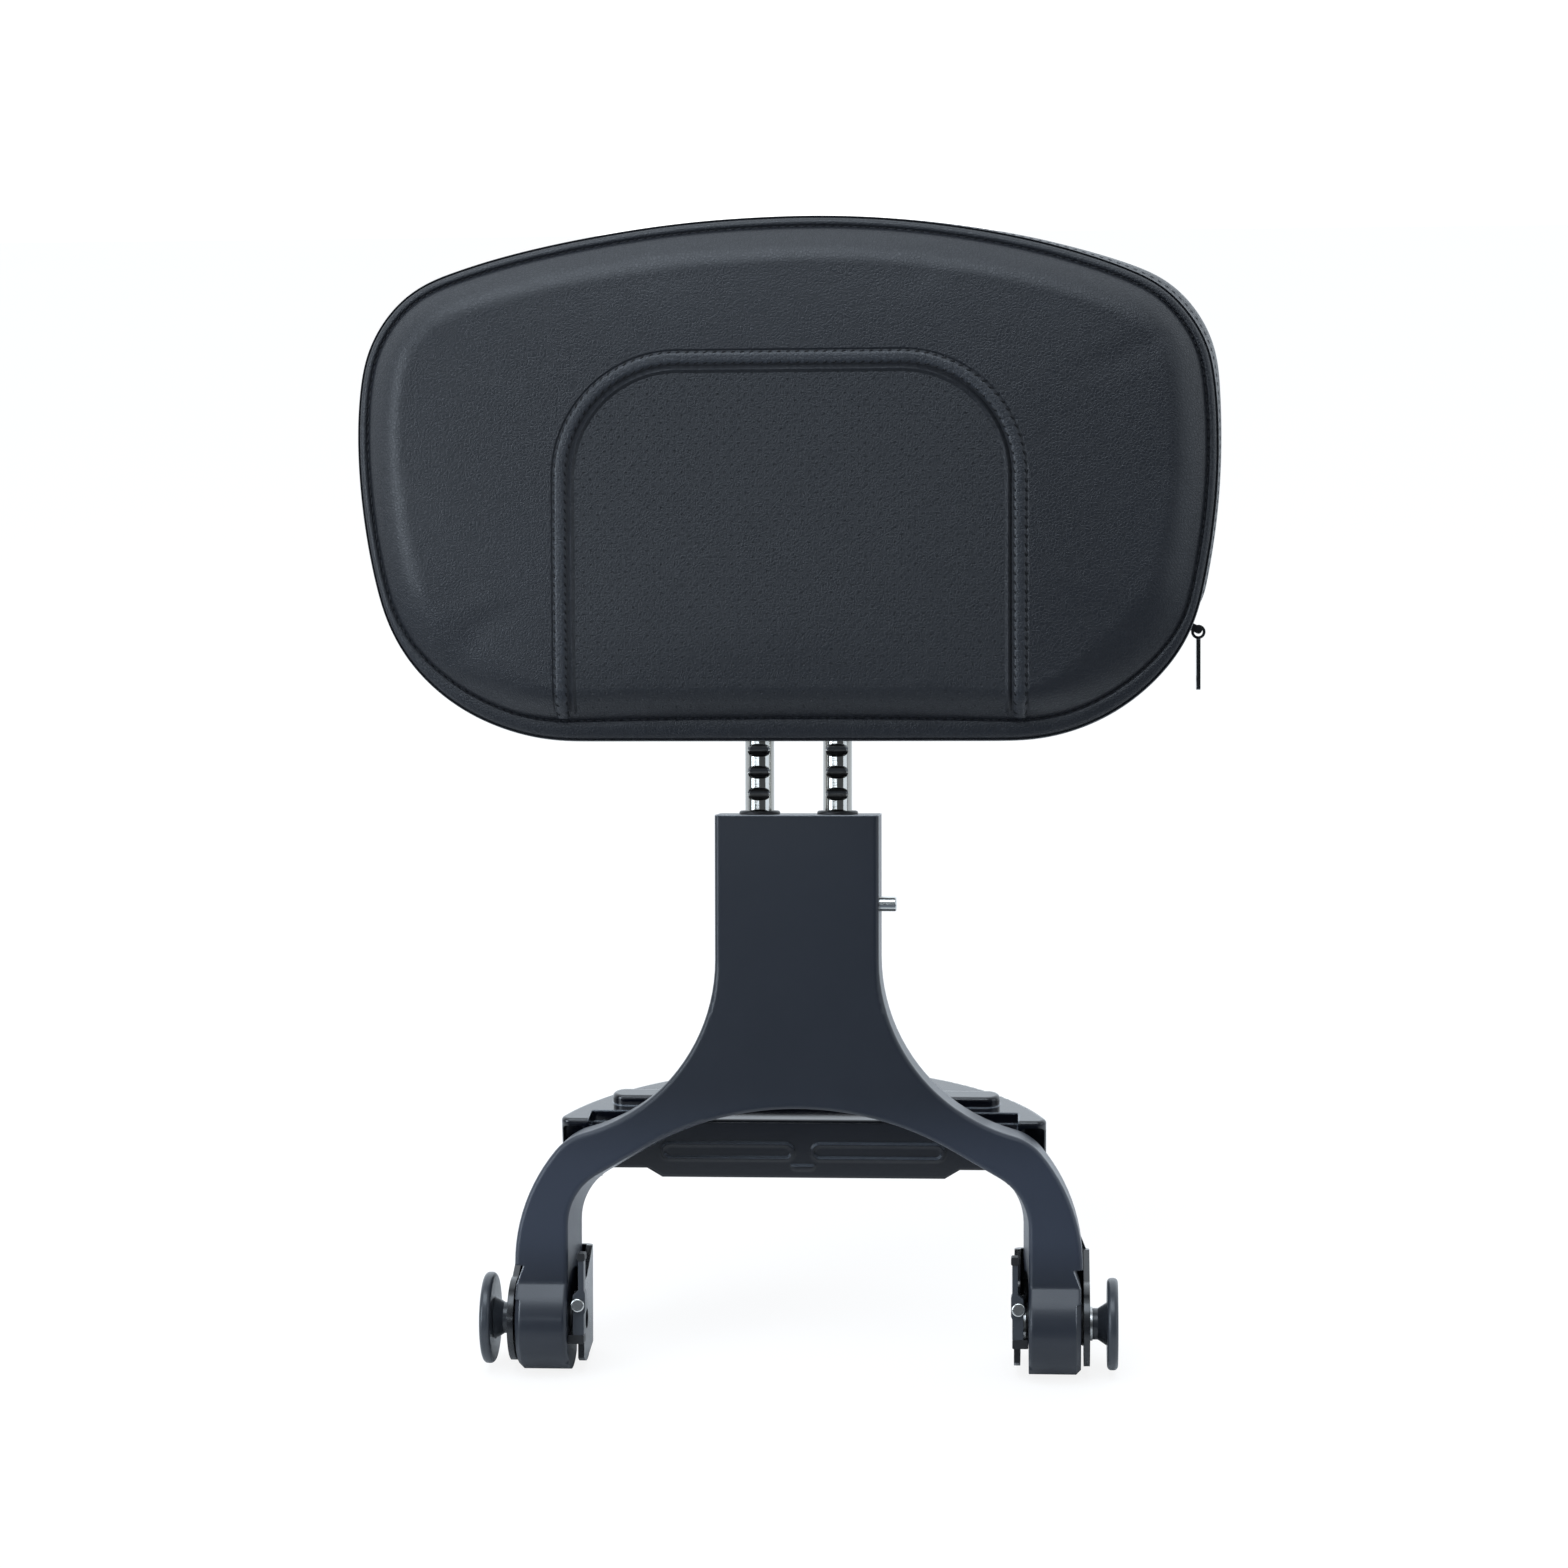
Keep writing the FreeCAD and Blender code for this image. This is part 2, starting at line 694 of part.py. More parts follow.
def outline_edges(shape):
    """The edges of the casting that follow its front outline."""
    found = []
    for edge in shape.Edges:
        run = edge.tangentAt(edge.FirstParameter)
        crosswise = abs(run.x) > 0.999 or abs(run.y) > 0.999
        if not (isinstance(edge.Curve, Part.Line) and crosswise):
            found.append(edge)
    return found


def drum_rim_cutter():
    """What the bevel takes off a drum's outer rim, below the arm."""
    start = V(drum_outer_x - drum_rim_bevel, 0, 0)
    blank = rod(drum_radius + 5, start, start + V(drum_rim_bevel + 1, 0, 0))
    kept = Part.makeCone(drum_radius, drum_radius - drum_rim_bevel - 1, drum_rim_bevel + 1, start, ALONG_X)
    below_arm = box(0, beyond, -beyond, beyond, -beyond, drum_radius / 2)
    return blank.cut(kept).common(below_arm)


def wishbone():
    """The casting that carries the posts and turns on the two pivots."""
    half = wishbone_front_view(-beyond, 0, 0).extrude(V(0, 2 * beyond, 0))
    front = fused([half, mirrored(half)])
    side = wishbone_side_view().extrude(V(2 * beyond, 0, 0))
    casting = front.common(side).removeSplitter()
    casting = casting.makeFillet(casting_round, outline_edges(casting))
    wedge = draft_wedge().common(side)
    casting = fused([casting, wedge, mirrored(wedge)])
    points = [(arm_outer_x + 5, ear_recess_top), (arm_outer_x - ear_recess_depth, ear_recess_top),
              (drum_outer_x, ear_recess_slope_z), (drum_outer_x, -drum_radius - 5),
              (arm_outer_x + 5, -drum_radius - 5)]
    recess = polygon(points, in_front_view(-beyond)).extrude(V(0, 2 * beyond, 0))
    casting = casting.cut(recess).cut(mirrored(recess))
    bevel = drum_rim_cutter()
    casting = casting.cut(bevel).cut(mirrored(bevel))
    for hand in SIDES.values():
        drum_face = rod(drum_radius + 0.5, V(drum_inner_x - 20, 0, 0), V(drum_inner_x, 0, 0))
        bore = rod(bushing_radius, V(drum_inner_x - 5, 0, 0), V(drum_outer_x + 5, 0, 0))
        casting = casting.cut(for_side(drum_face, hand)).cut(for_side(bore, hand))
        x = hand * post_x
        casting = casting.cut(rod(post_radius + 0.15, V(x, 0, post_bore_bottom_z), V(x, 0, body_top_z + 1)))
        casting = casting.cut(rod(post_bushing_diameter / 2, V(x, 0, body_top_z - post_bushing_length),
                                  V(x, 0, body_top_z + 1)))
    lock_start = V(-body_half_width - 1, lock_y, lock_z)
    casting = casting.cut(rod(lock_bar_diameter / 2 + 0.1, lock_start, V(body_half_width + 1, lock_y, lock_z)))
    button_seat = V(button_inner_x() - button_travel - 0.3, lock_y, lock_z)
    casting = casting.cut(rod(button_diameter / 2 + 0.1, button_seat, V(body_half_width + 1, lock_y, lock_z)))
    plug_seat = V(-body_half_width + plug_length, lock_y, lock_z)
    casting = casting.cut(rod(lock_bar_diameter / 2 + 0.4, V(-body_half_width - 1, lock_y, lock_z), plug_seat))
    return leaned(casting)


def post_bushings():
    """Collared bushings that guide the posts at the body's top."""
    bushings = []
    for side in SIDES.values():
        x = side * post_x
        sleeve = rod(post_bushing_diameter / 2, V(x, 0, body_top_z - post_bushing_length), V(x, 0, body_top_z))
        collar = rod(post_collar_diameter / 2, V(x, 0, body_top_z), V(x, 0, body_top_z + post_collar_height))
        top = [e for e in collar.Edges if e.BoundBox.ZMin > body_top_z + 0.1]
        collar = collar.makeFillet(post_collar_height * 0.6, top)
        bore = rod(post_radius + running_clearance, V(x, 0, body_top_z - beyond), V(x, 0, body_top_z + beyond))
        bushings.append(fused([sleeve, collar]).cut(bore))
    return leaned(group(bushings))


def pivot_bushings():
    """Flanged bushings pressed into each drum from both ends."""
    bushings = []
    half = (drum_outer_x - drum_inner_x) / 2 - 1
    for side in SIDES.values():
        for face, inward in ((drum_outer_x, -1), (drum_inner_x, 1)):
            sleeve = rod(bushing_radius, V(face, 0, 0), V(face + inward * half, 0, 0))
            flange = rod(bushing_flange_radius, V(face, 0, 0), V(face - inward * bushing_flange, 0, 0))
            bore = rod(stud_diameter / 2 + running_clearance, V(0, 0, 0), V(beyond, 0, 0))
            bushings.append(for_side(fused([sleeve, flange]).cut(bore), side))
    return leaned(group(bushings))


# Height lock

def button_inner_x():
    """The button's inner end, clear of the right post even when pushed home."""
    return post_x + post_radius + button_travel - 0.5


def lock_bar():
    """A flattened bar with one tooth for each post's notches; its right end is the button."""
    bar_left = -body_half_width + plug_length + spring_room
    bar = rod(lock_bar_diameter / 2, V(bar_left, lock_y, lock_z), V(button_inner_x(), lock_y, lock_z))
    flat_y = -post_radius - lock_bar_flat
    behind = box(bar_left - 1, button_inner_x(), flat_y, lock_y + lock_bar_diameter, lock_z - 5, lock_z + 5)
    for side in SIDES.values():
        x = side * post_x
        behind = behind.cut(box(x - lock_tooth / 2, x + lock_tooth / 2, -beyond, beyond, lock_z - 6, lock_z + 6))
    bar = bar.cut(behind)
    end = body_half_width + button_proud
    button = rod(button_diameter / 2, V(button_inner_x(), lock_y, lock_z), V(end, lock_y, lock_z))
    rim = [e for e in button.Edges if abs(e.BoundBox.XMin - end) < 0.01 and e.BoundBox.XLength < 0.1]
    return leaned(fused([bar, button.makeFillet(0.6, rim)]))


def coil(radius, wire, turns, length, start, along):
    """A wound spring from a point along a direction, in short straight runs of hexagonal wire."""
    steps = turns * 12
    points = []
    for step in range(steps + 1):
        angle = math.radians(30 * step)
        points.append(V(radius * math.cos(angle), radius * math.sin(angle), length * step / steps))
    run = (points[1] - points[0]).normalize()
    out = run.cross(ALONG_Z).normalize()
    up = out.cross(run)
    section = []
    for corner in range(6):
        angle = math.radians(60 * corner)
        section.append(points[0] + out * (wire / 2 * math.cos(angle)) + up * (wire / 2 * math.sin(angle)))
    spring = Part.makePolygon(points).makePipeShell([Part.makePolygon(section + section[:1])], True, False, 1)
    spring.Placement = FreeCAD.Placement(start, FreeCAD.Rotation(ALONG_Z, along))
    return spring


def button_spring():
    """The coil that pushes the lock bar back out."""
    start = V(-body_half_width + plug_length + spring_wire, lock_y, lock_z)
    length = spring_room - 2 * spring_wire
    return leaned(coil(lock_bar_diameter / 2 - spring_wire, spring_wire, 5, length, start, ALONG_X))


def spring_plug():
    """The screw plug that closes the spring's bore on the left side."""
    radius = lock_bar_diameter / 2 + 0.4
    start = V(-body_half_width, lock_y, lock_z)
    plug = rod(radius, start, start + V(plug_length, 0, 0))
    return leaned(plug.cut(rod(1.2, start, start + V(1.4, 0, 0))))


# Latch levers

def latch_lever(side):
    """A slim lever in front of the inner ear: finger above, body about the rivet."""
    waist = latch_inner_x + latch_waist
    finger = waist + latch_finger_width
    points = [(waist, latch_finger_top), (finger, latch_finger_top), (finger, latch_pin_z + 6),
              (latch_outer_x, latch_pin_z + 4), (latch_outer_x, latch_body_bottom),
              (waist, latch_body_bottom), (waist, latch_pin_z - 4), (latch_inner_x, latch_pin_z - 3),
              (latch_inner_x, latch_pin_z + 5), (waist, latch_pin_z + 6)]
    plate = polygon(points, in_front_view(latch_front_y)).extrude(V(0, latch_back_y - latch_front_y, 0))
    plate = plate.makeFillet(0.4, edges_along(plate, ALONG_Y))
    bore = rod(latch_pin_diameter / 2 + running_clearance, V(latch_pin_x, -beyond, latch_pin_z),
               V(latch_pin_x, beyond, latch_pin_z))
    return leaned(for_side(plate.cut(bore), side))


def latch_pads(side):
    """Black tip on the finger and brake foot against the drum's inner face."""
    front = latch_front_y - 0.3
    tip = rounded_box(latch_inner_x, latch_inner_x + 2 * latch_waist + latch_finger_width, front,
                      latch_back_y, latch_finger_top, latch_finger_top + latch_tip_height, 0.8, ALONG_Y)
    foot = rounded_box(latch_inner_x + latch_waist, drum_inner_x - latch_foot_gap, front, latch_back_y,
                       latch_body_bottom - latch_foot_height, latch_body_bottom, 0.5, ALONG_Y)
    return leaned(for_side(group([tip, foot]), side))


def latch_pins():
    """Rivets that carry the levers, with domed heads in front."""
    pins = []
    for side in SIDES.values():
        x = side * latch_pin_x
        head_y = latch_front_y - latch_pin_head_height
        shank = rod(latch_pin_diameter / 2, V(x, latch_front_y, latch_pin_z), V(x, latch_pin_end, latch_pin_z))
        head = rod(latch_pin_head / 2, V(x, head_y, latch_pin_z), V(x, latch_front_y - running_clearance, latch_pin_z))
        neck = rod(latch_pin_diameter / 2, V(x, head_y, latch_pin_z), V(x, latch_front_y + 1, latch_pin_z))
        rim = [e for e in head.Edges if e.BoundBox.YMax < head_y + 0.01]
        pins.append(fused([shank, neck, head.makeFillet(0.7, rim)]))
    return leaned(group(pins))


def latch_springs():
    """Torsion coils round the rivets, between the levers and their lugs."""
    springs = []
    for side in SIDES.values():
        start = V(side * latch_pin_x, latch_back_y + latch_spring_wire / 2 + 0.2, latch_pin_z)
        radius = latch_pin_diameter / 2 + latch_spring_wire
        springs.append(coil(radius, latch_spring_wire, 2, latch_spring_length, start, ALONG_Y))
    return leaned(group(springs))


# Posts

def post(side):
    """A round post with a row of cross notches down its front."""
    x = side * post_x
    bar = rod(post_radius, V(x, 0, post_bottom_z), V(x, 0, pad_bottom_z + post_reach))
    ends = [e for e in bar.Edges if e.BoundBox.ZLength < 0.01]
    bar = bar.makeChamfer(1.0, ends)
    last = int((pad_bottom_z - lock_z) / notch_pitch)
    for step in range(-steps_each_way, last + 1):
        z = lock_z + step * notch_pitch
        bar = bar.cut(rod(notch_diameter / 2, V(x - post_diameter, lock_y, z), V(x + post_diameter, lock_y, z)))
    return leaned(bar)


# Cushion

def pad_centres():
    """Arc centres of the cushion outline, right half: top, side, upper and lower corner."""
    top = (0.0, pad_top_z - pad_top_radius)
    side = (pad_half_width - pad_side_radius, pad_bottom_z + pad_waist_height)
    reach_top = pad_top_radius - pad_upper_corner
    reach_side = pad_side_radius - pad_upper_corner
    du = side[0] - top[0]
    dv = side[1] - top[1]
    gap = math.hypot(du, dv)
    along = (reach_top ** 2 - reach_side ** 2 + gap ** 2) / (2 * gap)
    off = math.sqrt(reach_top ** 2 - along ** 2)
    upper = (top[0] + along * du / gap + off * dv / gap, top[1] + along * dv / gap - off * du / gap)
    lower_v = pad_bottom_z + pad_lower_corner
    reach_low = pad_side_radius - pad_lower_corner
    lower = (side[0] + math.sqrt(reach_low ** 2 - (lower_v - side[1]) ** 2), lower_v)
    return top, side, upper, lower


def pad_outline(inset):
    """The cushion outline, pulled in evenly by an inset: one arc each for top, sides and corners."""
    top, side, upper, lower = pad_centres()

    def on(centre, radius, through):
        away = math.hypot(through[0] - centre[0], through[1] - centre[1])
        reach = (radius - inset) / away
        return (centre[0] + (through[0] - centre[0]) * reach, centre[1] + (through[1] - centre[1]) * reach)

    def arc(start, centre, radius, end):
        middle = ((start[0] + end[0]) / 2, (start[1] + end[1]) / 2)
        return start, on(centre, radius, middle), end

    bottom = (lower[0], pad_bottom_z + inset)
    low = on(side, pad_side_radius, lower)
    high = on(side, pad_side_radius, upper)
    crest = on(top, pad_top_radius, upper)
    right = [arc(bottom, lower, pad_lower_corner, low), arc(low, side, pad_side_radius, high),
             arc(high, upper, pad_upper_corner, crest)]
    left = [tuple((-u, v) for u, v in reversed(points)) for points in reversed(right)]
    over = (crest, (0.0, pad_top_z - inset), (-crest[0], crest[1]))
    return bottom, right + [over] + left


def pad_prism(inset, y0, y1):
    """The cushion outline as a solid between two depths."""
    bottom, arcs = pad_outline(inset)
    place = in_front_view(y0)
    edges = [Part.makeLine(place(-bottom[0], bottom[1]), place(*bottom))]
    for points in arcs:
        edges.append(Part.Arc(*[place(*pair) for pair in points]).toShape())
    return Part.Face(Part.Wire(edges)).extrude(V(0, y1 - y0, 0))


def crown_ball(inset):
    """The large sphere whose cap is the cushion's crowned front."""
    radius = pad_half_width ** 2 / (2 * pad_crown)
    return Part.makeSphere(radius - inset, V(0, pad_front_y + radius, pad_mid_z))


def crowned(inset, back_y):
    """The cushion's front form: crowned face, rounded rim, flat back."""
    blank = pad_prism(inset, pad_front_y - 5, back_y).common(crown_ball(inset))
    rim = [e for e in blank.Edges if e.BoundBox.YMax < back_y - 0.5]
    return blank.makeFillet(pad_rim_radius - inset, rim)


def cover_skin():
    """The leatherette skin over the front, before it is cut into its panels."""
    return crowned(0, seam_y).cut(crowned(cover_thickness, seam_y + 1))


def insert_outline(inset, y0, y1):
    """The tall arch of the centre insert, open at the bottom seam."""
    half = insert_half_width - inset
    radius = insert_corner_radius - inset
    top = pad_bottom_z + insert_top_height - inset
    path = Path(half, pad_bottom_z - 20, 90)
    path.run(top - radius - path.v)
    path.bend(radius, 90)
    path.run(2 * (half - radius))
    path.bend(radius, 90)
    path.run(top - radius - (pad_bottom_z - 20))
    path.to(half, pad_bottom_z - 20)
    return path.face(in_front_view(y0)).extrude(V(0, y1 - y0, 0))


def arch(inset):
    """A cutter with the insert's outline, right through the front skin."""
    return insert_outline(inset, pad_front_y - 20, seam_y + 20)


def panel():
    """A cutter with the outline of the front seam."""
    return pad_prism(seam_inset, pad_front_y - 20, seam_y + 20)


def front_cover(skin):
    """The main front panel, with the arch of the insert left out."""
    return leaned(skin.common(panel()).cut(arch(0)))


def centre_insert(skin):
    """The perforated panel inside the arch."""
    return leaned(skin.common(panel()).common(arch(welt_width)))


def insert_welt():
    """The raised stitched band round the insert."""
    layer = crown_ball(-welt_proud).cut(crown_ball(cover_thickness))
    return leaned(arch(0).cut(arch(welt_width)).common(panel()).common(layer))


def edge_roll(skin):
    """The rolled edge between the front seam and the sides."""
    return leaned(skin.cut(pad_prism(seam_inset - seam_groove, pad_front_y - 20, seam_y + 20)))


def pad_foam():
    """The foam cushion: crowned in front, stepped in behind the seam for the gusset."""
    dome = crowned(cover_thickness + foam_clearance, seam_y)
    inset = cover_thickness + gusset_step + foam_clearance
    return leaned(fused([dome, pad_prism(inset, seam_y, board_front_y - foam_clearance)]))


def side_ring(inset, thickness, y0, y1):
    """A band that follows the cushion outline."""
    return pad_prism(inset, y0, y1).cut(pad_prism(inset + thickness, y0 - 1, y1 + 1))


def above_band_end():
    """Everything above the height where the zipper gusset starts."""
    return box(-beyond, beyond, -beyond, beyond, band_end_z, band_end_z + beyond)


def upper_band():
    """The side band over the top, from one zipper end to the other."""
    return leaned(side_ring(0, cover_thickness, seam_y, band_back_y).common(above_band_end()))


def zipper_gusset():
    """The lower side band that holds the zipper, with two holes for the posts."""
    gusset = side_ring(gusset_step, cover_thickness, seam_y, band_back_y).cut(above_band_end())
    for side in SIDES.values():
        x = side * post_x
        gusset = gusset.cut(rod(post_radius + 0.3, V(x, 0, pad_bottom_z - 5), V(x, 0, pad_bottom_z + 10)))
    return leaned(gusset)


def zipper_y():
    """Depth of the zipper's middle line."""
    return seam_y + zipper_setback


def zipper_chain():
    """The closed teeth along the gusset, as one raised strip."""
    y = zipper_y()
    strip = side_ring(0.1, gusset_step - 0.1, y - zipper_width / 2, y + zipper_width / 2)
    limit = box(-beyond, beyond, -beyond, beyond, band_end_z - 3, band_end_z + beyond)
    return leaned(strip.cut(limit).cut(slider_solid(0.1)))


def pull_pin_reach():
    """How far the slider's cross pin stands out from the cushion's outline."""
    return slider_height + pull_eye_radius + slider_end_clearance


def slider_place():
    """Slider position on the lower right corner arc, with the outward angle there."""
    lower = pad_centres()[3]
    z = band_end_z - slider_length
    angle = math.asin((z - lower[1]) / pad_lower_corner)
    return V(lower[0] + pad_lower_corner * math.cos(angle), zipper_y(), z), math.degrees(angle)


def on_slider(shape):
    """Moves a shape from the slider's own frame (outward +X) to the slider's place."""
    point, angle = slider_place()
    placed = shape.copy()
    placed.rotate(V(0, 0, 0), ALONG_Y, -angle)
    placed.translate(point)
    return placed


def slider_solid(grow):
    """The slider's body, or the room it needs in the chain."""
    half = slider_width / 2 + grow
    long = slider_length / 2 + grow
    body = box(-gusset_step, slider_height, -half, half, -long, long)
    return on_slider(body.makeFillet(1.0, edges_along(body, ALONG_X)))


def pull_pin_point():
    """The slider's cross pin, which the pull hangs from."""
    point, angle = slider_place()
    out = pull_pin_reach()
    return V(point.x + out * math.cos(math.radians(angle)), point.y, point.z + out * math.sin(math.radians(angle)))


def zipper_slider():
    """Slider body with two cheeks and the cross pin for the pull."""
    out = pull_pin_reach()
    cheek_y = pull_eye_width / 2 + 0.2
    cheeks = []
    for side in SIDES.values():
        y0, y1 = sorted((side * cheek_y, side * (cheek_y + cheek_thickness)))
        cheek = box(0, out + cheek_half_height, y0, y1, -cheek_half_height, cheek_half_height)
        cheeks.append(on_slider(cheek.makeFillet(cheek_half_height * 0.8, edges_along(cheek, ALONG_Y))))
    pin = on_slider(rod(pull_pin_radius, V(out, -cheek_y - 0.5, 0), V(out, cheek_y + 0.5, 0)))
    return leaned(fused([slider_solid(0)] + cheeks + [pin]))


def zipper_pull():
    """The flat pull tab, hanging by a ring whose top rests on the slider's pin."""
    pin = pull_pin_point()
    centre = pin - V(0, 0, pull_eye_hole - pull_pin_radius - running_clearance)
    half_ring = V(0, pull_eye_width / 2, 0)
    half = pull_width / 2
    eye = rod(pull_eye_radius, centre - half_ring, centre + half_ring)
    tab_top = centre.z - (pull_eye_radius + pull_eye_hole) / 2
    tab = rounded_box(pin.x - pull_thickness / 2, pin.x + pull_thickness / 2, pin.y - half, pin.y + half,
                      pin.z - pull_length, tab_top, pull_corner, ALONG_X)
    hole = rod(pull_hole_radius, pin + V(-5, 0, pull_hole_rise - pull_length), pin + V(5, 0, pull_hole_rise - pull_length))
    opening = rod(pull_eye_hole, centre - V(0, 10, 0), centre + V(0, 10, 0))
    return leaned(fused([eye, tab]).cut(hole).cut(opening))


def strap_screw_places():
    """Screws at the middle and both ends of each post strap."""
    places = []
    for height in (strap_low, strap_high):
        for x in (-strap_half_length + 6, 0, strap_half_length - 6):
            places.append(V(x, board_back_y, pad_bottom_z + height))
    return places


def back_board():
    """The board behind the foam that the posts are strapped to."""
    board = pad_prism(board_inset, board_front_y, board_back_y)
    for place in strap_screw_places():
        board = board.cut(rod(screw_diameter / 2, place - V(0, board_thickness - 0.5, 0), place + ALONG_Y))
    return leaned(board)


def post_strap(z):
    """A pressed strap with two humps over the posts."""
    low = z - strap_height / 2
    high = z + strap_height / 2
    over = post_radius + running_clearance
    feet = box(-strap_half_length, strap_half_length, board_back_y, board_back_y + strap_thickness, low, high)
    strap = feet.makeFillet(3.0, edges_along(feet, ALONG_Y))
    humps = []
    tunnels = []
    for side in SIDES.values():
        x = side * post_x
        outer = over + strap_thickness
        humps.append(rod(outer, V(x, 0, low), V(x, 0, high)))
        humps.append(box(x - outer, x + outer, board_back_y, 0, low, high))
        tunnels.append(rod(over, V(x, 0, low - 1), V(x, 0, high + 1)))
        tunnels.append(box(x - over, x + over, board_back_y - 5, 0, low - 1, high + 1))
    front = box(-beyond, beyond, -beyond, board_back_y, low - 2, high + 2)
    strap = fused([strap] + humps)
    for tunnel in tunnels + [front]:
        strap = strap.cut(tunnel)
    return strap


def post_straps():
    """The two straps that hold the posts against the board."""
    straps = group([post_strap(pad_bottom_z + height) for height in (strap_low, strap_high)])
    for place in strap_screw_places():
        straps = straps.cut(rod(screw_diameter / 2, place - ALONG_Y, place + V(0, 10, 0)))
    return leaned(group([straps]))


def strap_screws():
    """Pan-head screws through the straps into the board."""
    screws = []
    for place in strap_screw_places():
        seat = place + V(0, strap_thickness, 0)
        head = rod(screw_head_diameter / 2, seat, seat + V(0, screw_head_height, 0))
        rim = [e for e in head.Edges if e.BoundBox.YMin > seat.y + 0.1]
        shank = rod(screw_diameter / 2, place - V(0, board_thickness - 0.6, 0), seat)
        screws.append(fused([head.makeFillet(1.2, rim), shank]))
    return leaned(group(screws))


def rear_cover():
    """The shallow rear shell that closes the back of the cushion."""
    shell = pad_prism(0, band_back_y, rear_y)
    rim = [e for e in shell.Edges if e.BoundBox.YMin > rear_y - 0.1]
    shell = shell.makeFillet(rear_cover_round, rim)
    return leaned(shell.cut(pad_prism(cover_thickness + 1.5, band_back_y - 1, rear_inner_y)))


def build():
    """Every node of the backrest by name."""
    skin = cover_skin()
    nodes = {
        "mount_bracket": mount_bracket(),
        "threaded_inserts": threaded_inserts(),
        "leg_bolts": leg_bolts(),
        "pivot_nuts": pivot_nuts(),
        "latch_pins": latch_pins(),
        "latch_springs": latch_springs(),
        "wishbone": wishbone(),
        "post_bushings": post_bushings(),
        "pivot_bushings": pivot_bushings(),
        "spring_plug": spring_plug(),
        "button_spring": button_spring(),
        "lock_bar": lock_bar(),
        "pad_foam": pad_foam(),
        "front_cover": front_cover(skin),
        "centre_insert": centre_insert(skin),
        "insert_welt": insert_welt(),
        "edge_roll": edge_roll(skin),
        "upper_band": upper_band(),
        "zipper_gusset": zipper_gusset(),
        "zipper_chain": zipper_chain(),
        "zipper_slider": zipper_slider(),
        "zipper_pull": zipper_pull(),
        "rear_cover": rear_cover(),
        "back_board": back_board(),
        "post_straps": post_straps(),
        "strap_screws": strap_screws(),
    }
    for name, side in SIDES.items():
        nodes["leg_yoke_" + name] = leg_yoke(side)
        nodes["knob_" + name] = clamp_knob(side)
        nodes["knob_stud_" + name] = knob_stud(side)
        nodes["knob_washer_" + name] = knob_washer(side)
        nodes["latch_lever_" + name] = latch_lever(side)
        nodes["latch_pads_" + name] = latch_pads(side)
        nodes["post_" + name] = post(side)
    return nodes


os.makedirs("parts", exist_ok=True)
for node, shape in build().items():
    shape.exportStep("parts/" + node + ".step")
    print(node, len(shape.Solids), "solids", round(shape.Volume / 1000, 2), "cm3", shape.isValid())
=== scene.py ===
import json
import math

import bmesh
import bpy
import numpy as np
from mathutils import Matrix, Vector
from mathutils.bvhtree import BVHTree
from mathutils.geometry import convex_hull_2d


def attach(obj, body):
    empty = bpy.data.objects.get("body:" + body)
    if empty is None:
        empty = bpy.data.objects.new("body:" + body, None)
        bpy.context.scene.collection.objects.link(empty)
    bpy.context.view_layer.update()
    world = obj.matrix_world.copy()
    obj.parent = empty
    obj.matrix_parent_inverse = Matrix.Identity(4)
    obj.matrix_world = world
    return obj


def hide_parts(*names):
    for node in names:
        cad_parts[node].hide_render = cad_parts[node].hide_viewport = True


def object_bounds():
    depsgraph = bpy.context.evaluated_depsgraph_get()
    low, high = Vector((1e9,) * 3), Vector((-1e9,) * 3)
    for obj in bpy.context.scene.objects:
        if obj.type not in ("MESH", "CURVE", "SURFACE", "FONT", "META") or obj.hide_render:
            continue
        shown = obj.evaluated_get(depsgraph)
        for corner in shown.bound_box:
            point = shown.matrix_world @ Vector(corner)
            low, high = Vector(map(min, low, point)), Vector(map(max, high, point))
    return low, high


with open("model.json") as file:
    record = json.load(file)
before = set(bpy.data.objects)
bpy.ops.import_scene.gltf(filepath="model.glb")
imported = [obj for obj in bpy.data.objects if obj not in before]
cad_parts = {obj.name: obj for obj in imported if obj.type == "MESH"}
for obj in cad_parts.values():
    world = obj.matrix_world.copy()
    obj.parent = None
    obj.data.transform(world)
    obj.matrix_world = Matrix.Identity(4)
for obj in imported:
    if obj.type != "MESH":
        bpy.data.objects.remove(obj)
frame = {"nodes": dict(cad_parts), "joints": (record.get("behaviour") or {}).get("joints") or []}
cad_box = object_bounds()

# Motorcycle driver backrest: leather cushion on notched posts, cast wishbone, half-moon
# bracket. Metres. The cushion and everything that tilts is worked out upright, with the
# pivot axis as origin, and leaned back into place.

MM = 0.001
joints = {joint["name"]: joint for joint in frame["joints"]}
pivot = Vector(joints["tilt"]["pos_m"])
post_axis = Vector(joints["height_slide"]["axis"])
lean = math.atan2(post_axis.y, post_axis.z)
stand = Matrix.Translation(pivot) @ Matrix.Rotation(-lean, 4, "X")
unstand = stand.inverted()

# Camera, fitted to the photograph's outline
view_azimuth = math.radians(4.37)
view_elevation = math.radians(13.16)
view_roll = math.radians(-1.01)
view_distance = 1.5
view_target = Vector((-0.0065, -0.02, 0.1636))
photo_width = 1568
focal_length = 3586       # in the photograph's pixels
sensor_width = 36.0

